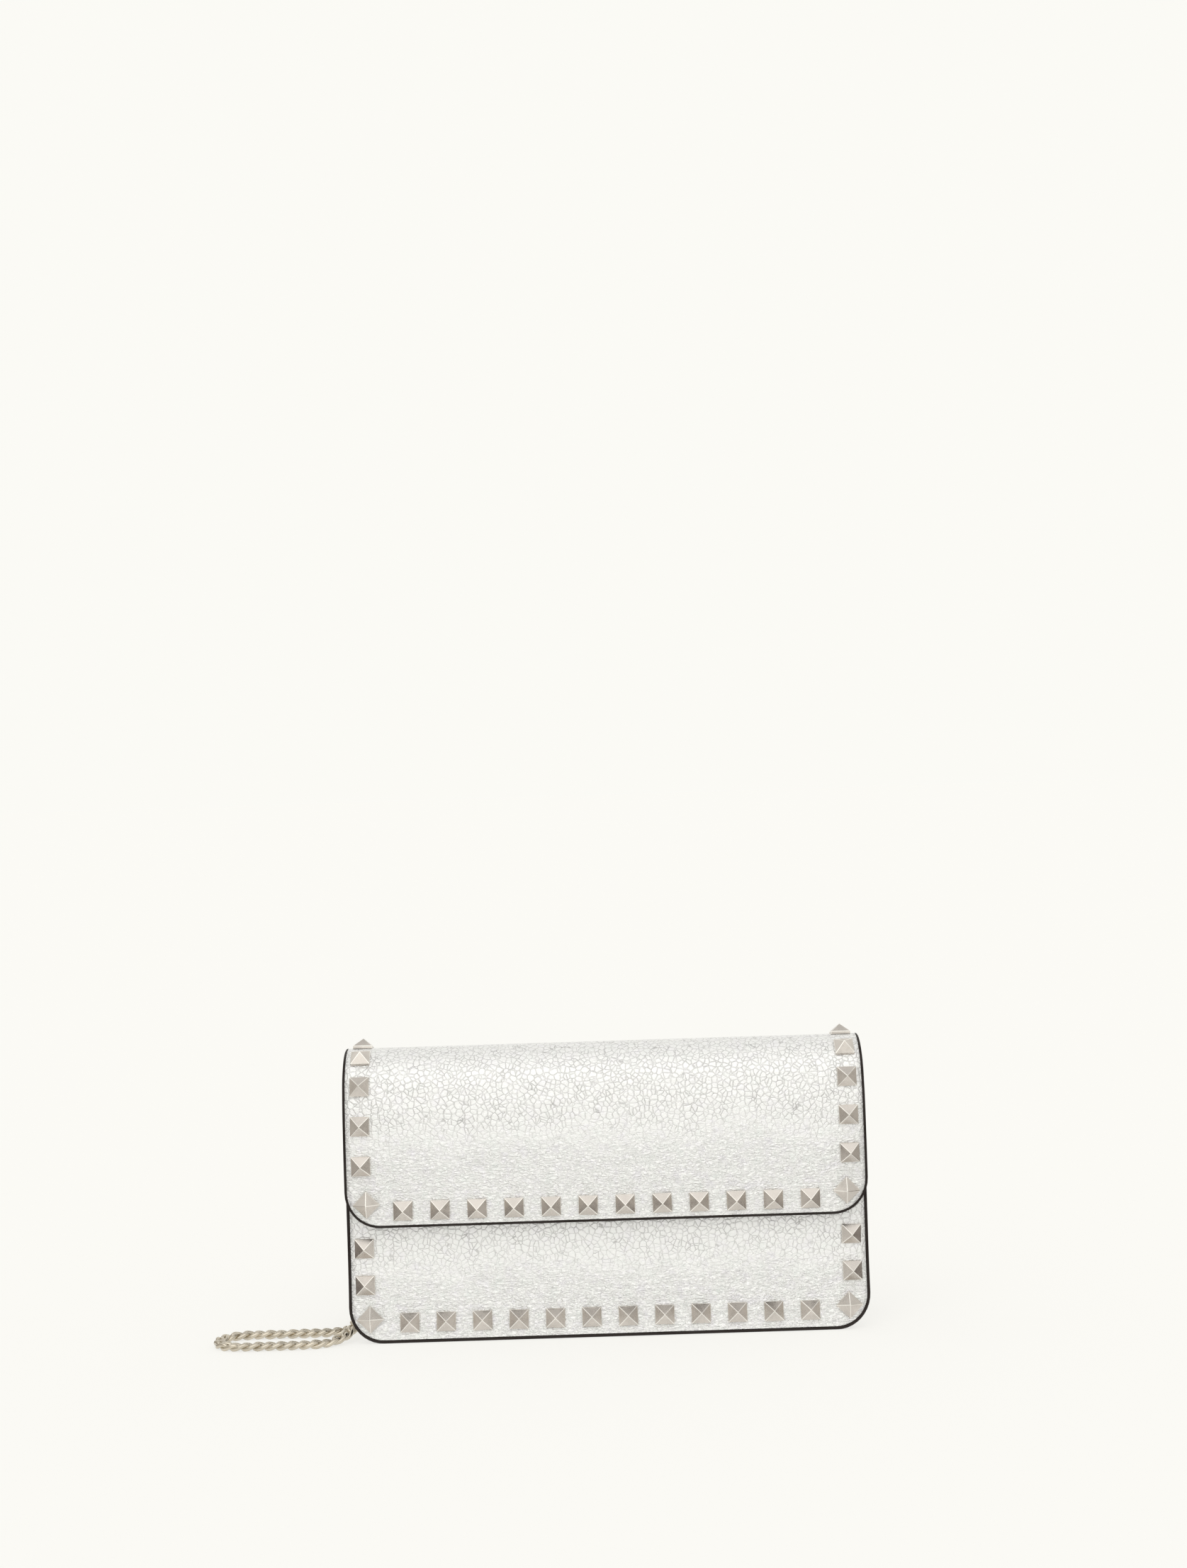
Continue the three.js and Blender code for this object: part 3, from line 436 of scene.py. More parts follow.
def link_ring(turns=26, sides=8):
    """One link of a curb chain, along X and flat in Z: an oval whose ends are twisted apart."""
    length = (LINK_PITCH + LINK_WIRE) / 2 + LINK_SLACK
    half = (LINK_WIDTH - LINK_WIRE) / 2
    t = np.linspace(0, 2 * math.pi, turns, endpoint=False)
    twist = LINK_TWIST * np.cos(t)
    wide = half * np.sin(t)
    middle = np.column_stack([length * np.cos(t), wide * np.cos(twist), wide * np.sin(twist)])
    ahead = np.roll(middle, -1, 0) - np.roll(middle, 1, 0)
    ahead /= np.linalg.norm(ahead, axis=1)[:, None]
    out = middle - (middle * ahead).sum(1)[:, None] * ahead
    out /= np.linalg.norm(out, axis=1)[:, None]
    up = np.cross(ahead, out)
    rings = []
    for k in range(sides):
        angle = 2 * math.pi * k / sides
        rings.append(middle + LINK_WIRE / 2 * (math.cos(angle) * out + math.sin(angle) * up))
    points = np.stack(rings, 1).reshape(-1, 3)
    return points, np.array(grid_faces(turns, sides, around=True, along=True))


def chain(name, route, material):
    """Links along a route in mm, from the eye they hang on. Returns the mesh and the route in m."""
    line = resampled(route, 0.5)
    reach = np.concatenate([[0], np.cumsum(np.linalg.norm(np.diff(line, axis=0), axis=1))])
    count = round(reach[-1] / LINK_PITCH + 0.5)
    pitch = reach[-1] / (count - 0.5)
    ring, ring_faces = link_ring()
    draws = np.random.default_rng(11)
    lead = line[0] + (line[0] - line[1]) / np.linalg.norm(line[0] - line[1]) * LINK_PITCH
    line, reach = np.vstack([lead, line]), np.concatenate([[-LINK_PITCH], reach])

    def at(place):
        return np.array([np.interp(place, reach, line[:, k]) for k in range(3)])

    points, faces = [], []
    for i in range(count):
        back, ahead = at((i - 0.5) * pitch), at((i + 0.5) * pitch)
        middle = (back + ahead) / 2
        along = (ahead - back) / np.linalg.norm(ahead - back)
        turning = HANGING_ABOVE - LYING_BELOW
        lying = np.clip((HANGING_ABOVE - middle[2]) / turning, 0, 1)
        lying = lying * lying * (3 - 2 * lying)
        tilt = math.radians(draws.uniform(-9, 9))
        flat = np.array([0, 1 - lying + math.sin(tilt), lying])
        flat -= (flat @ along) * along
        flat /= np.linalg.norm(flat)
        side = np.cross(flat, along)
        drop = FLOOR_DROP * np.clip((DROP_BELOW - middle[2]) / DROP_OVER, 0, 1)
        turned = ring @ np.array([along, side, flat])
        faces.append(ring_faces + len(ring) * i)
        points.append(turned + middle - [0, 0, drop])
    piece = make_mesh(name, np.concatenate(points) * MM, np.concatenate(faces), material)
    return piece, line[1::4] * MM


left_line = curve_through(LEFT_ROUTE)
hank_line = curve_through([LEFT_ROUTE[-1], *hank_route(), RIGHT_ROUTE[0]])
left_chain, left_path = chain("chain_strap_left", np.vstack([left_line, hank_line[1:]]), chain_metal)
right_chain, right_path = chain("chain_strap_right", curve_through(RIGHT_ROUTE)[::-1], chain_metal)
for side, piece, path in (("left", left_chain, left_path), ("right", right_chain, right_path)):
    hang = path[0]
    start, end = (hang[0], hang[1], HANG_TOP), (hang[0], hang[1], HANG_END)
    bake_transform(piece)
    on_it = ["chain_tie"] if side == "left" else []
    on_it += [f"swivel_{side}", f"clasp_{side}", f"clasp_lever_{side}"]
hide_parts("chain_left", "chain_hank")
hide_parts("chain_right")

# ---- Leather sheets ----
GAP = 0.3  # mm, between pieces that touch
BACK_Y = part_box("back_panel")[1].y / MM
FOLD_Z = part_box("back_panel")[1].z / MM + GAP
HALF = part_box("front_panel")[1].x / MM
FOLD_RADIUS = 16.5
FOLD_Y = BACK_Y - FOLD_RADIUS
FOLD_LEAN = 8
CORNER = 13
EDGE_FLARE = 0.35
HANG_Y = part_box("flap_leather")[0].y / MM + EDGE_FLARE
FLAP_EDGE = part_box("flap_leather")[0].z / MM
PANEL_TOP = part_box("front_panel")[1].z / MM
GUSSET_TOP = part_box("gusset")[1].z / MM
LEATHER = 1.0
SHELL = 2.5  # leather and lining together
SEAM = 0.8  # gusset's edge, sewn in under the panel
LEAN_START = FOLD_Z - 15


def on_fold(degrees):
    angle = math.radians(degrees)
    return (FOLD_Y - FOLD_RADIUS * math.cos(angle), FOLD_Z + FOLD_RADIUS * math.sin(angle))


class Surface:
    """A side-view line of (y, z) points in mm, carried across the wallet, outside on its left."""

    def __init__(self, line):
        self.line = resampled(line, 0.35)
        steps = np.linalg.norm(np.diff(self.line, axis=0), axis=1)
        self.reach = np.concatenate([[0], np.cumsum(steps)])
        self.length = self.reach[-1]
        ahead = np.gradient(self.line, axis=0)
        ahead /= np.linalg.norm(ahead, axis=1)[:, None]
        self.ahead = ahead
        self.out = np.column_stack([-ahead[:, 1], ahead[:, 0]])

    def picked(self, values, place):
        return np.column_stack([np.interp(place, self.reach, values[:, k]) for k in range(2)])

    def at(self, x, place, depth):
        """Points at x, at a distance along the line and a depth below the surface, all arrays."""
        x, place, depth = np.broadcast_arrays(x, place, depth)
        flat = place.ravel()
        yz = self.picked(self.line, flat) - self.picked(self.out, flat) * depth.ravel()[:, None]
        return np.column_stack([x.ravel(), yz])

    def place_of(self, height):
        """How far along the line it first reaches a height."""
        return float(self.reach[np.argmax(self.line[:, 1] >= height)])

    def facing(self, place):
        """The way up along the surface and the way out of it, as unit vectors."""
        ahead, out = self.picked(self.ahead, [place])[0], self.picked(self.out, [place])[0]
        return np.array([0, *ahead]), np.array([0, *out])


def cover_line():
    """The flap's front from its lower edge, over the fold and down the back to the floor."""
    start = on_fold(FOLD_LEAN)
    hanging = LEAN_START - FLAP_EDGE
    front = curve_through([
        (HANG_Y - EDGE_FLARE, FLAP_EDGE),
        (HANG_Y, FLAP_EDGE + 0.38 * hanging),
        (HANG_Y + 0.15, LEAN_START - 0.16 * hanging),
        ((HANG_Y + start[0]) / 2 - 0.2, (LEAN_START + start[1]) / 2 + 1),
        start,
    ], power=0)
    fold = [on_fold(FOLD_LEAN + (180 - FOLD_LEAN) * i / 48) for i in range(1, 49)]
    return [*front, *fold, (BACK_Y, 0)]


def front_line():
    """The front panel, from its toe on the floor up to its top."""
    y = HANG_Y + SHELL + 1.6
    toe = [(3.9, 0), (1.7, 0.15), (0.4, 0.3), (0, 0.49), (0, 0.73)]  # forward by, share of the height
    points = [(y - forward, share * LEAN_START) for forward, share in toe]
    points += [(y + 0.3, LEAN_START - 5), (on_fold(FOLD_LEAN)[0] + 3.6, PANEL_TOP + 4)]
    line = curve_through(points, power=0)
    return line[line[:, 1] <= PANEL_TOP]


cover = Surface(cover_line())
front = Surface(front_line())


def quarter(radius, steps=10):
    """Along and across of a quarter circle, from its foot to its side."""
    angle = np.linspace(0, math.pi / 2, steps + 1)
    return radius * (1 - np.cos(angle)), radius * (1 - np.sin(angle))


def rows_of(length, inset, first_corner, last_corner, step=1.5):
    """How far along each row of a sheet lies, and its half width. Corners of 0 are square."""
    first, last = max(first_corner - inset, 0), max(last_corner - inset, 0)
    along, across = quarter(first) if first else (np.zeros(1), np.zeros(1))
    along_end, across_end = quarter(last) if last else (np.zeros(1), np.zeros(1))
    begin, end = inset + first, length - inset - last
    middle = np.linspace(begin, end, max(2, round((end - begin) / step)))[1:-1]
    places = np.concatenate([inset + along, middle, length - inset - along_end[::-1]])
    halves = HALF - inset - np.concatenate([across, np.zeros(len(middle)), across_end[::-1]])
    return places, halves


def sheet_piece(name, surface, depths, inset, corners, material, columns=90):
    """A sheet of leather between two depths, closed round its rim."""
    places, halves = rows_of(surface.length, inset, *corners)
    x = halves[:, None] * np.linspace(-1, 1, columns)
    along = np.repeat(places[:, None], columns, 1)
    rows, count = len(places), len(places) * columns
    points = np.concatenate([surface.at(x, along, depth) for depth in depths])
    faces = grid_faces(rows, columns) + grid_faces(rows, columns, count)
    rim = [*range(columns)] + [r * columns + columns - 1 for r in range(1, rows)]
    rim += [(rows - 1) * columns + c for c in range(columns - 2, -1, -1)]
    rim += [r * columns for r in range(rows - 2, 0, -1)]
    faces += [(a, b, b + count, a + count) for a, b in zip(rim, rim[1:] + rim[:1])]
    uv = np.column_stack([x.ravel(), along.ravel()]) * MM
    return make_mesh(name, points * MM, faces, material, uv=np.concatenate([uv, uv]))


def outline(length, inset, first_corner, last_corner, step=1.6):
    """Round a sheet's edge: x and place along, and the way outwards in (x, along)."""
    found = []
    half = HALF - inset
    first, last = max(first_corner - inset, 0.3), max(last_corner - inset, 0.3)

    def straight(x0, a0, x1, a1, out):
        count = max(2, round(math.hypot(x1 - x0, a1 - a0) / step))
        for k in range(count):
            share = k / count
            found.append((x0 + share * (x1 - x0), a0 + share * (a1 - a0), *out))

    def corner(x, a, radius, begin):
        for k in range(10):
            angle = math.radians(begin + 9 * k)
            out = (math.cos(angle), math.sin(angle))
            found.append((x + radius * out[0], a + radius * out[1], *out))

    low, high = inset, length - inset
    straight(-half + first, low, half - first, low, (0, -1))
    corner(half - first, low + first, first, -90)
    straight(half, low + first, half, high - last, (1, 0))
    corner(half - last, high - last, last, 0)
    straight(half - last, high, -half + last, high, (0, 1))
    corner(-half + last, high - last, last, 90)
    straight(-half, high - last, -half, low + first, (-1, 0))
    corner(-half + first, low + first, first, 180)
    return np.array(found)


def painted_edge(name, surface, corners, thick_at, reach=0.7, sides=12):
    """The rounded, painted edge all round a sheet. thick_at gives its thickness at a place along."""
    ring = outline(surface.length, reach, *corners)
    x, along = ring[:, 0], ring[:, 1]
    thick = thick_at(along)
    middle = surface.at(x, along, thick / 2)
    ahead, out = surface.picked(surface.ahead, along), surface.picked(surface.out, along)
    zero = np.zeros(len(ring))
    side = np.column_stack([ring[:, 2], ahead * ring[:, 3:4]])
    side /= np.linalg.norm(side, axis=1)[:, None]
    up = np.column_stack([zero, out])
    points = []
    for k in range(sides):
        angle = 2 * math.pi * k / sides
        lift = (thick / 2 + 0.07)[:, None] * math.sin(angle) * up
        points.append(middle + reach * math.cos(angle) * side + lift)
    points = np.stack(points, 1).reshape(-1, 3) * MM
    return make_mesh(name, points, grid_faces(len(ring), sides, around=True, along=True), edge_paint)


def cover_thickness(along):
    """The back panel's edge takes in the gusset's, the flap's doesn't."""
    seam = cover.length - (GUSSET_TOP - 2)
    share = np.clip((along - seam) / 3, 0, 1)
    return SHELL + (SEAM + GAP) * share


def front_thickness(along):
    """The front panel's edge takes in the gusset's, up to the gusset's top."""
    return SHELL + (SEAM + GAP) * (along < GUSSET_TOP)


RIM = 1.1  # of the sheet's edge that the edge paint covers
LINING_DEPTHS = (LEATHER + 0.05, SHELL)
rounded = (CORNER, CORNER)
cover_skin = sheet_piece("cover_skin", cover, (0, LEATHER), RIM, rounded, flap_leather)
cover_inner = sheet_piece("cover_lining", cover, LINING_DEPTHS, RIM, rounded, lining, 60)
cover_edge = painted_edge("cover_edge", cover, rounded, cover_thickness)
for piece in (cover_skin, cover_inner, cover_edge):
    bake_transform(piece)
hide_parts("flap_leather", "back_panel")
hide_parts("flap_lining", "back_lining")

square_top = (CORNER, 0)
front_skin = sheet_piece("front_skin", front, (0, LEATHER), RIM + 0.25, square_top, panel_leather)
front_inner = sheet_piece("front_lining_sheet", front, LINING_DEPTHS, RIM, square_top, lining, 60)
front_edge = painted_edge("front_edge", front, square_top, front_thickness, 0.83)
for piece in (front_skin, front_inner, front_edge):
    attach(piece, "case")
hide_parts("front_panel")
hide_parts("front_lining")


# ---- Gusset: a strip that folds inwards along the sides ----
GUSSET_HALF = 0.42  # of its thickness
CREASE = 4.0  # how far the sides fold in
CREASE_STARTS, CREASE_GROWS = 10, 18  # the height where the fold begins, and over which it grows


def gusset_piece():
    """The strip, swept down the left side, along the bottom and up the right side."""
    ring = outline(GUSSET_TOP, 0, CORNER, 0, 2.0)
    route = [r for r in ring if r[3] <= 0.01]  # all but the open top
    start = next(i for i, r in enumerate(route) if r[2] == -1)
    route = route[start:] + route[:start]
    heights, depths = front.line[:, 1], front.line[:, 0]
    points, uv = [], []
    gone = 0.0
    for i, (x, z, out_x, out_z) in enumerate(route):
        if i:
            gone += math.hypot(x - route[i - 1][0], z - route[i - 1][1])
        near = float(np.interp(z, heights, depths)) + SHELL + GAP + SEAM / 2
        far = BACK_Y - SHELL - GAP - SEAM / 2
        crease = CREASE * np.clip((z - CREASE_STARTS) / CREASE_GROWS, 0, 1) * abs(out_x)
        section = [(1.1, near), (2.6, near), (3.5, near + 0.12)]
        for k in range(1, 12):
            t = k / 12
            fold = (1 - abs(2 * t - 1)) ** 0.85
            section.append((3.95 + crease * fold, near + 0.5 + (far - near - 1) * t))
        section += [(3.5, far - 0.12), (2.6, far), (1.1, far)]
        line = np.array(section)
        ahead = np.gradient(line, axis=0)
        ahead /= np.linalg.norm(ahead, axis=1)[:, None]
        side = np.column_stack([-ahead[:, 1], ahead[:, 0]]) * GUSSET_HALF
        reach = np.concatenate([[0], np.cumsum(np.linalg.norm(np.diff(line, axis=0), axis=1))])
        for part, order in ((line + side, 1), (line - side, -1)):
            for (inset, y), run in list(zip(part, reach))[::order]:
                points.append((x - out_x * inset, y, max(z - out_z * inset, 0.2)))
                uv.append((gone, run))
    columns = 2 * len(line)
    faces = grid_faces(len(route), columns, around=True)
    last = (len(route) - 1) * columns
    faces += [tuple(range(columns)), tuple(range(last, last + columns))]
    return make_mesh("gusset_strip", np.array(points) * MM, faces, trim_leather, uv=np.array(uv) * MM)


gusset = gusset_piece()
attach(gusset, "case")
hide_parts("gusset")

# ---- Studs ----
STUD = 7
STUD_HEIGHT = 3.4
STUD_RIM = 0.5
SEAT = 0.3  # a stud's base above the leather, in the frame; here its rim goes down to the leather
SIDE_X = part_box("panel_stud_right_1")[1].x / MM - STUD / 2
DIAMOND_X = HALF - 8
jitter = np.random.default_rng(5)


def stud_shape():
    """A pyramid with a low rim and softened edges, pointing along Z."""
    half = STUD / 2
    square = ((-half, -half), (half, -half), (half, half), (-half, half))
    work = bmesh.new()
    rings = []
    for z in (-SEAT - 0.25, STUD_RIM):
        rings.append([work.verts.new((x, y, z)) for x, y in square])
    tip = work.verts.new((0, 0, STUD_HEIGHT))
    work.faces.new(rings[0][::-1])
    for k in range(4):
        n = (k + 1) % 4
        work.faces.new((rings[0][k], rings[0][n], rings[1][n], rings[1][k]))
        work.faces.new((rings[1][k], rings[1][n], tip))
    sharp = [e for e in work.edges if max(v.co.z for v in e.verts) > 0]
    bmesh.ops.bevel(work, geom=sharp, offset=0.17, segments=2, profile=0.6, affect="EDGES")
    work.verts.index_update()
    points = np.array([v.co for v in work.verts])
    work.normal_update()
    smallest = 1.2  # mm2: a softened edge's faces are smaller than this
    flats = [[v.index for v in f.verts] for f in work.faces if f.calc_area() > smallest]
    ridges = [[v.index for v in f.verts] for f in work.faces if f.calc_area() <= smallest]
    work.free()
    return points, flats, ridges


STUD_POINTS, STUD_FLATS, STUD_RIDGES = stud_shape()


def stud_piece(name, node, body, surface, seats, spin=0):
    """Studs on a surface at (x, place along), as one piece that stands for a node."""
    points, flats, ridges = [], [], []
    for x, along in seats:
        ahead, out = surface.facing(along)
        turn = math.radians(spin + jitter.uniform(-1.2, 1.2))
        lean = jitter.uniform(-0.018, 0.018, 2)
        across = np.array([1.0, 0, 0])
        side = math.cos(turn) * across + math.sin(turn) * ahead
        up = -math.sin(turn) * across + math.cos(turn) * ahead
        normal = out + lean[0] * side + lean[1] * up
        normal /= np.linalg.norm(normal)
        side -= (side @ normal) * normal
        side /= np.linalg.norm(side)
        up = np.cross(normal, side)
        base = surface.at(x, along, -SEAT)[0]
        placed = STUD_POINTS @ np.array([side, up, normal]) + base
        first = len(STUD_POINTS) * len(points)
        flats += [[i + first for i in face] for face in STUD_FLATS]
        ridges += [[i + first for i in face] for face in STUD_RIDGES]
        points.append(placed)
    # The softened edges take the brighter copy of the nickel: a painted highlight along each ridge
    metals = [stud_metal, ridge_highlight_metal]
    piece = make_mesh(name, np.concatenate(points) * MM, [flats, ridges], metals, smooth=False)
    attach(piece, body)
    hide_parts(node)


ROW = 12  # studs
ROW_HEIGHTS = {"flap_stud_row": 48.0, "panel_stud_row": 7.0}
FOLD_ANGLES = {"left": (15, 56, 98), "right": (9.5, 50, 97)}
PANEL_SIDE_HEIGHTS = (20.7, 34)
PANEL_DIAMOND = 8.4
fold_begins = cover.place_of(on_fold(FOLD_LEAN)[1])
diamond = FLAP_EDGE + 8.6
for side, sign in (("left", -1), ("right", 1)):
    angles = FOLD_ANGLES[side]
    column_step = (on_fold(angles[0])[1] - diamond) / 3
    flap_places = [cover.place_of(diamond + k * column_step) for k in (1, 2)]
    flap_places += [fold_begins + math.radians(a - FOLD_LEAN) * FOLD_RADIUS for a in angles]
    for k, place in enumerate(flap_places):
        name = f"flap_stud_{side}_{k + 1}"
        stud_piece(f"pyramid_{name}", name, "flap", cover, [(sign * SIDE_X, place)])
    name = f"flap_stud_{side}_corner"
    seat = (sign * DIAMOND_X, cover.place_of(diamond))
    stud_piece(f"pyramid_{name}", name, "flap", cover, [seat], 45)
    for k, height in enumerate(PANEL_SIDE_HEIGHTS):
        name = f"panel_stud_{side}_{k + 1}"
        seat = (sign * SIDE_X, front.place_of(height))
        stud_piece(f"pyramid_{name}", name, "case", front, [seat])
    name = f"panel_stud_{side}_corner"
    seat = (sign * DIAMOND_X, front.place_of(PANEL_DIAMOND))
    stud_piece(f"pyramid_{name}", name, "case", front, [seat], 45)
for node, body, surface in (("flap_stud_row", "flap", cover), ("panel_stud_row", "case", front)):
    place = surface.place_of(ROW_HEIGHTS[node])
    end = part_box(node)[1].x / MM - STUD / 2
    seats = [(x, place) for x in np.linspace(-end, end, ROW)]
    stud_piece("pyramids_" + node, node, body, surface, seats)


# ---- Turned and bent metal ----
def turned_piece(name, profile, middle, material, sides=48):
    """A profile of (radius, distance along +Y) in mm, turned about a line along Y."""
    points = []
    for radius, along in profile:
        for k in range(sides):
            angle = 2 * math.pi * k / sides
            points.append((radius * math.cos(angle), along, radius * math.sin(angle)))
    faces = grid_faces(len(profile), sides, around=True, along=True)
    return make_mesh(name, (np.array(points) + middle) * MM, faces, material)


def tube_piece(name, route, radius, material, closed=False, sides=14):
    """A round wire along points in mm."""
    line = np.asarray(route, float)
    ahead = np.roll(line, -1, 0) - np.roll(line, 1, 0) if closed else np.gradient(line, axis=0)
    ahead /= np.linalg.norm(ahead, axis=1)[:, None]
    normal = np.array([0.0, 1.0, 0.0])
    points = []
    for place, way in zip(line, ahead):
        normal = normal - (normal @ way) * way
        normal /= np.linalg.norm(normal)
        side = np.cross(way, normal)
        for k in range(sides):
            angle = 2 * math.pi * k / sides
            points.append(place + radius * (math.cos(angle) * normal + math.sin(angle) * side))
    faces = grid_faces(len(line), sides, around=True, along=closed)
    if not closed:
        faces += [tuple(range(sides)), tuple(len(points) - sides + k for k in range(sides))]
    return make_mesh(name, np.array(points) * MM, faces, material)


def arc(middle, radius, begin, end, steps, y):
    """Points of an arc in the XZ plane, in degrees from +X towards +Z."""
    angles = np.radians(np.linspace(begin, end, steps + 1))
    return [(middle[0] + radius * math.cos(a), y, middle[1] + radius * math.sin(a)) for a in angles]


def keep_node(name, material, width=0.12, segments=2):
    """A CAD node that is shown as it is, with its edges softened."""
    piece = nodes[name]
    piece.data.materials.clear()
    piece.data.materials.append(material)
    bevel = piece.modifiers.new("softened", "BEVEL")
    bevel.width = width * MM
    bevel.segments = segments
    bevel.limit_method = "ANGLE"
    bevel.angle_limit = math.radians(35)
    bevel.use_clamp_overlap = True


# ---- Strap rings, tabs, clasps and swivels ----
RING_Z = 66  # the straight side of the ring
RING_HALF = 7
RING_LEG = 4
RING_CORNER = 1.3
WIRE = 1.1
EYE = 2.4
EYE_WIRE = 0.8
STEM = 0.7
RIVET_DOME = [(0.05, 0), (2.3, 0), (2.3, 0.25), (2.1, 0.42), (1.5, 0.68), (0.8, 0.84), (0.05, 0.9)]
for side in ("left", "right"):
    low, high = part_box("d_ring_" + side)
    x, y = (low.x + high.x) / 2 / MM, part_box("swivel_" + side)[0].y / MM + EYE_WIRE
    route = []
    for sign, begin in ((-1, 180), (1, 90)):
        middle = (x + sign * (RING_HALF - RING_CORNER), RING_Z - RING_CORNER)
        route += arc(middle, RING_CORNER, begin, begin - 90, 5, y)
    route += arc((x, RING_Z - RING_LEG), RING_HALF, 0, -180, 28, y)
    ring = tube_piece("dee_ring_" + side, route, WIRE, fitting_metal, closed=True)
    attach(ring, "ring_" + side)
    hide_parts("d_ring_" + side)
    eye_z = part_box("swivel_" + side)[0].z / MM + EYE + EYE_WIRE
    turn = arc((x, eye_z), EYE, 0, 345, 23, y)
    eye = tube_piece("swivel_eye_" + side, turn, EYE_WIRE, fitting_metal, closed=True)
    stem_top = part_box("swivel_" + side)[1].z / MM
    rise = [(x, y, z) for z in (eye_z + EYE - 0.2, stem_top - 0.5, stem_top)]
    stem = tube_piece("swivel_stem_" + side, rise, STEM, fitting_metal)
    for piece in (eye, stem):
        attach(piece, "swivel_" + side)
    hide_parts("swivel_" + side)
    keep_node("clasp_" + side, fitting_metal, 0.3, 3)
    keep_node("clasp_lever_" + side, fitting_metal, 0.15)
    keep_node("ring_tab_" + side, tab_leather, 0.35, 3)
    low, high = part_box("tab_rivet_" + side)
    middle = ((low.x + high.x) / 2 / MM, low.y / MM, (low.z + high.z) / 2 / MM)
    rivet = turned_piece("rivet_cap_" + side, RIVET_DOME, middle, fitting_metal)
    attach(rivet, "case")
    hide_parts("tab_rivet_" + side)


# ---- Stitches: short threads, three across each tab and one row along each card panel ----
STITCH = 2.0  # length
THREAD = 0.28
STITCH_RISE = ((-0.5, -0.1), (-0.36, 0.12), (0, 0.2), (0.36, 0.12), (0.5, -0.1))  # share, height


def stitches(name, seats, facing):
    """Rounded threads along X at seats in mm, a little out of leather that faces -Y or +Y."""
    along, out = np.array([1.0, 0, 0]), np.array([0, float(facing), 0])
    side = np.cross(out, along)
    points, faces = [], []
    for seat in seats:
        first = len(points)
        for share, rise in STITCH_RISE:
            for k in range(6):
                angle = 2 * math.pi * k / 6
                off = THREAD * (math.cos(angle) * side + 0.8 * math.sin(angle) * out)
                points.append(np.array(seat) + along * share * STITCH + out * rise + off)
        faces += grid_faces(5, 6, first, around=True)
        faces += [tuple(range(first, first + 6)), tuple(range(first + 24, first + 30))]
    piece = make_mesh(name, np.array(points) * MM, faces, thread)
    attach(piece, "case")


for side in ("left", "right"):
    low, high = (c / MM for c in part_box("tab_rivet_" + side))
    seats = [((low.x + high.x) / 2 + off, low.y, low.z - 2.4) for off in (-3, 0, 3)]
    stitches("tab_stitches_" + side, seats, 1)
for i in range(1, 5):
    low, high = (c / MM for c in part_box(f"card_panel_{i}"))
    seats = [(x, low.y, high.z - 1.8) for x in np.arange(low.x + 3, high.x - 2, 3.0)]
    stitches(f"card_stitches_{i}", seats, -1)

# ---- Snap ----
def snap_half(node, profile_of, body):
    """One half of the snap, turned on its CAD node's axis."""
    low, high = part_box(node)
    middle = (0, low.y / MM, (low.z + high.z) / 2 / MM)
    half = turned_piece(node + "_half", profile_of((high.y - low.y) / MM), middle, fitting_metal)
    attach(half, body)
    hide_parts(node)


def stud_profile(deep):
    """A disc in the flap's lining, with a raised rim, a moat and a knob in the middle."""
    disc = [(0.05, 0), (6.8, 0), (7, 0.2), (7, deep - 0.7), (6.8, deep - 0.5)]
    moat = [(4.6, deep - 0.5), (4.4, deep - 0.65), (1.9, deep - 0.65), (1.6, deep - 0.4)]
    return disc + moat + [(1.5, deep - 0.1), (1.2, deep), (0.05, deep)]


def socket_profile(deep):
    """A ring on the front panel, rounded at its mouth and its rim."""
    mouth = [(3, deep), (3, 0.4), (3.3, 0.1), (3.8, 0)]
    return mouth + [(6.4, 0), (6.9, 0.15), (7, 0.4), (7, deep)]


snap_half("snap_stud", stud_profile, "flap")
snap_half("snap_socket", socket_profile, "case")

# ---- Zip pocket and card panels ----
for name in ("zip_pocket_front", "zip_pocket_back", *(f"card_panel_{i}" for i in range(1, 5))):
    keep_node(name, lining, 0.22, 3)
for name in ("zip_tape_front", "zip_tape_back"):
    keep_node(name, tape_cloth, 0.15)
for name in ("zip_stop_left", "zip_stop_right", "zip_slider", "zip_pull"):
    keep_node(name, fitting_metal, 0.18)
TOOTH_PITCH = 2.0
TOOTH_HEAD = 0.22  # past the middle


def teeth_piece(row, sign, shift):
    """Separate teeth along a row: small blocks with heads that meet the other row."""
    low, high = (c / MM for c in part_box("zip_teeth_" + row))
    middle = (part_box("zip_teeth_front")[1].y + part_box("zip_teeth_back")[0].y) / 2 / MM
    root, head = (low.y if sign < 0 else high.y), middle - sign * TOOTH_HEAD
    neck, brow = root + 0.55 * (head - root), head - 0.2 * (head - root)
    sections = ((root, 0.42, 0.25), (neck, 0.34, 0.0), (brow, 0.46, 0.0), (head, 0.3, 0.3))
    points, faces = [], []
    count = int((high.x - low.x - 1) / TOOTH_PITCH)
    for i in range(count):
        x = low.x + 0.6 + shift + i * TOOTH_PITCH
        first = len(points)
        for y, half, drop in sections:
            bottom, top = low.z + drop, high.z - drop
            points += [(x - half, y, bottom), (x + half, y, bottom)]
            points += [(x + half, y, top), (x - half, y, top)]
        faces += grid_faces(4, 4, first, around=True)
        faces += [tuple(range(first, first + 4)), tuple(range(first + 12, first + 16))]
    piece = make_mesh("teeth_" + row, np.array(points) * MM, faces, fitting_metal, smooth=False)
    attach(piece, "case")
    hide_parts("zip_teeth_" + row)


teeth_piece("front", -1, 0.0)
teeth_piece("back", 1, 1.0)

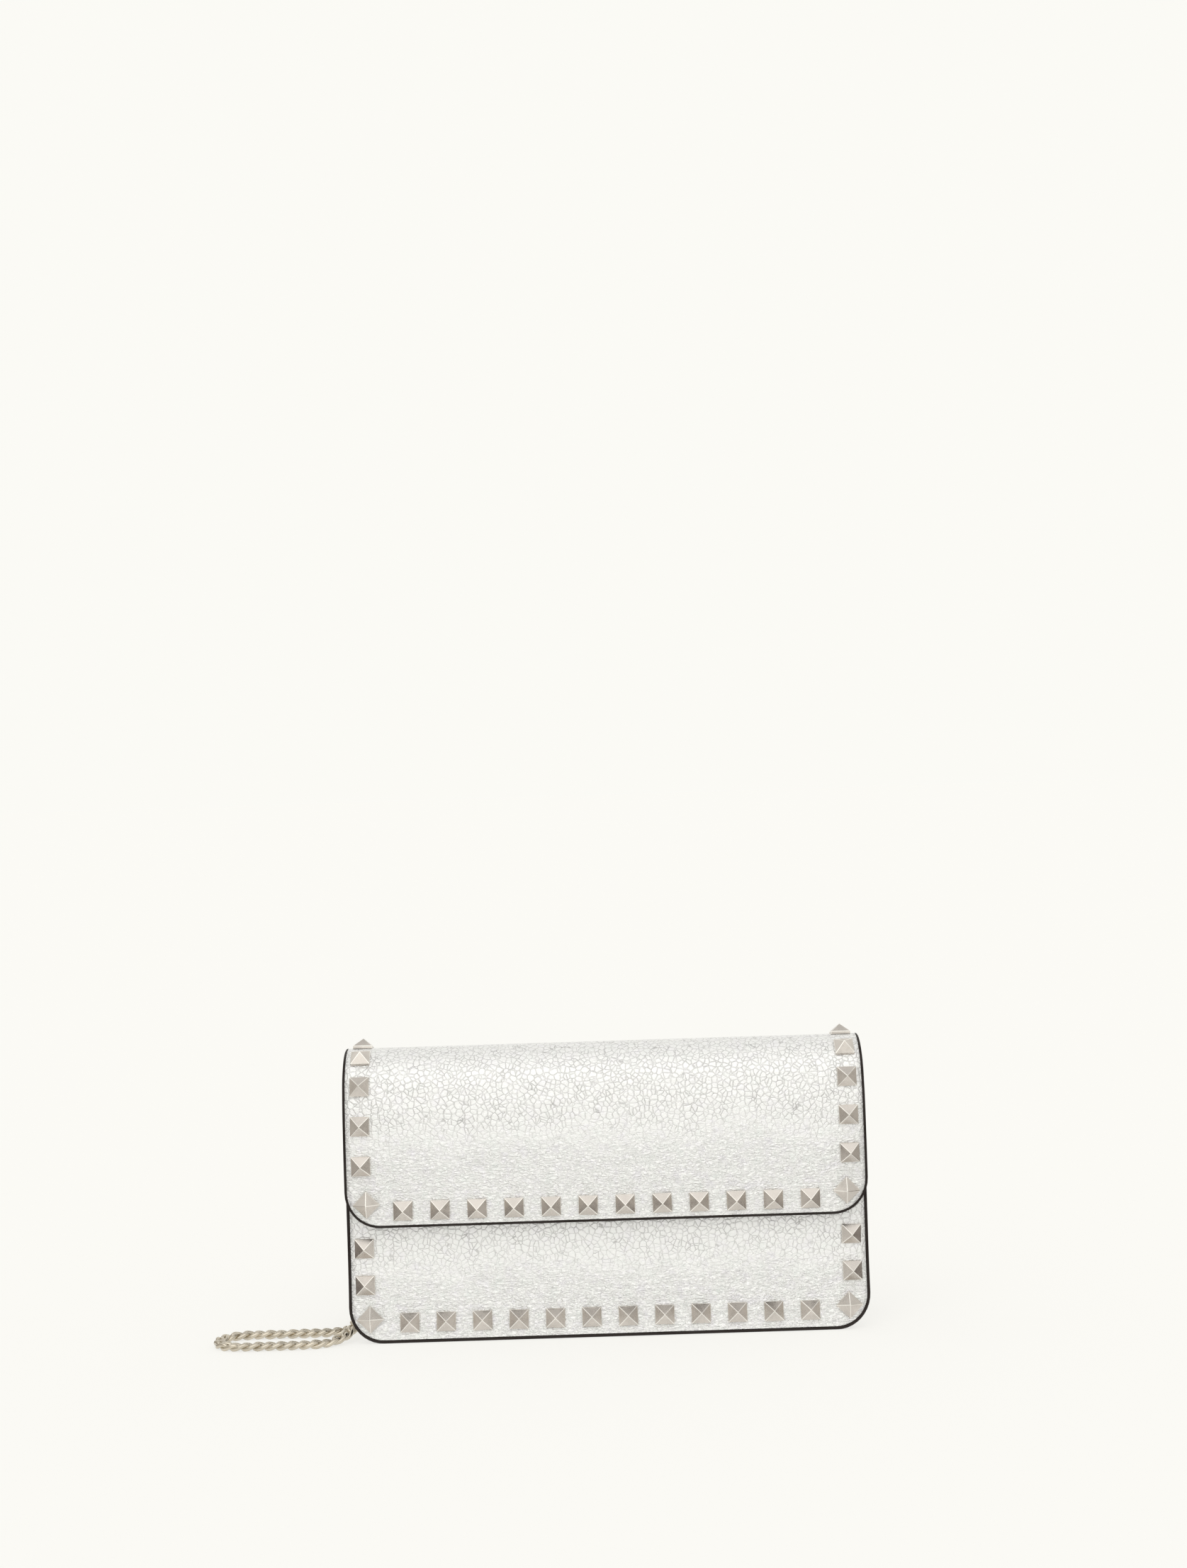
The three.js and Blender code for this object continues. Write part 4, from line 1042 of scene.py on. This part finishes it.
# ---- Tie round the hank ----
TIE_TURN = 3.2
TIE_THICK = 0.5
TIE_SIDE = 0.2  # how far its faces are set in from its rounded sides
low, high = (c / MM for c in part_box("chain_tie"))
points = []
for cy, cz, begin in (
    (high.y - TIE_TURN, high.z - TIE_TURN, 0),
    (low.y + TIE_TURN, high.z - TIE_TURN, 90),
    (low.y + TIE_TURN, low.z + TIE_TURN, 180),
    (high.y - TIE_TURN, low.z + TIE_TURN, 270),
):
    for k in range(9):
        angle = math.radians(begin + 90 * k / 8)
        way = (math.cos(angle), math.sin(angle))
        outer, inner = ((cy + r * way[0], cz + r * way[1]) for r in (TIE_TURN, TIE_TURN - TIE_THICK))
        middle = ((outer[0] + inner[0]) / 2, (outer[1] + inner[1]) / 2)
        near, far = low.x + TIE_SIDE, high.x - TIE_SIDE
        points += [(near, *outer), (far, *outer), (high.x, *middle)]
        points += [(far, *inner), (near, *inner), (low.x, *middle)]
faces = grid_faces(len(points) // 6, 6, around=True, along=True)
tie = make_mesh("tie_band", np.array(points) * MM, faces, tie_rubber)
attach(tie, "case")
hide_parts("chain_tie")

# ---- Floor and light ----
BACKDROP = (0.965, 0.957, 0.914)
OVERHEAD = (0.8, 0.793, 0.77)
LAMP_COLOUR = (1.0, 0.992, 0.97)
FLOOR_SHARE = 0.24  # how much of the light on the floor it gives back: little, for faint shadows
FLOOR_GLOW = (0.717, 0.711, 0.687)  # the rest of its brightness
FLAG_COLOUR = (0.6, 0.575, 0.53)
MAT_COLOUR = (0.2, 0.172, 0.155)
FAR = 40  # m
SKY_LOW, SKY_HIGH = 0.42, 0.95  # between these the backdrop's colour turns to the overhead one
SUN_WIDTH = math.radians(62)
SUN_TURN = (math.radians(42), 0, math.radians(-8))
CARD_NEAR, CARD_FAR, CARD_TOP = 0.15, 0.35, 0.2  # m, from the middle and above the floor


def glowing(name, colour, glow):
    """A plain matt material that also gives light."""
    shader = Shader(name, colour, 0.0, 1.0, Specular_IOR_Level=0.0)
    shader.surface.inputs["Emission Color"].default_value = (*glow, 1)
    shader.surface.inputs["Emission Strength"].default_value = 1.0
    return shader.material


corners = [(-FAR, -FAR, 0), (FAR, -FAR, 0), (FAR, FAR, 0), (-FAR, FAR, 0)]
floor_look = glowing("floor", tuple(FLOOR_SHARE * c for c in BACKDROP), FLOOR_GLOW)
make_mesh("floor", corners, [(0, 1, 2, 3)], floor_look)

world = bpy.data.worlds.new("studio")
scene.world = world
world.use_nodes = True
sky = world.node_tree
place = sky.nodes.new("ShaderNodeTexCoord").outputs["Generated"]
split = sky.nodes.new("ShaderNodeSeparateXYZ")
sky.links.new(place, split.inputs[0])
tall = sky.nodes.new("ShaderNodeMapRange")
tall.interpolation_type = "SMOOTHSTEP"
tall.inputs["From Min"].default_value = SKY_LOW
tall.inputs["From Max"].default_value = SKY_HIGH
sky.links.new(split.outputs[2], tall.inputs["Value"])
blend = sky.nodes.new("ShaderNodeMix")
blend.data_type = "RGBA"
sky.links.new(tall.outputs[0], blend.inputs[0])
blend.inputs[6].default_value = (*BACKDROP, 1)
blend.inputs[7].default_value = (*OVERHEAD, 1)
sky.links.new(blend.outputs[2], sky.nodes["Background"].inputs["Color"])


def soft_sun(name, energy, shines):
    """A wide overhead light. shines says whether it also shows as gloss."""
    data = bpy.data.lights.new(name, "SUN")
    data.energy = energy
    data.angle = SUN_WIDTH
    data.color = LAMP_COLOUR
    lamp = bpy.data.objects.new(name, data)
    lamp.rotation_euler = SUN_TURN
    lamp.visible_glossy = shines
    scene.collection.objects.link(lamp)


soft_sun("softbox", 0.45, True)
soft_sun("fill", 0.4, False)


def gloss_card(name, points, colour):
    """A card that only shows in gloss, to shape the reflections in the metal."""
    card = make_mesh(name, points, [(0, 1, 2, 3)], glowing(name, (0, 0, 0), colour))
    card.visible_camera = False
    card.visible_diffuse = False
    card.visible_shadow = False
    card.visible_transmission = False


for side, sign in (("left", -1), ("right", 1)):
    inner, outer = sign * CARD_NEAR, sign * CARD_FAR
    upright = ((-0.5, 0.001), (0.3, 0.001), (0.3, CARD_TOP), (-0.5, CARD_TOP))
    flat = ((inner, -0.4), (outer, -0.4), (outer, 0.25), (inner, 0.25))
    gloss_card("flag_" + side, [(outer, y, z) for y, z in upright], FLAG_COLOUR)
    gloss_card("mat_" + side, [(x, y, 0.0005) for x, y in flat], MAT_COLOUR)
scene.view_settings.view_transform = "Standard"
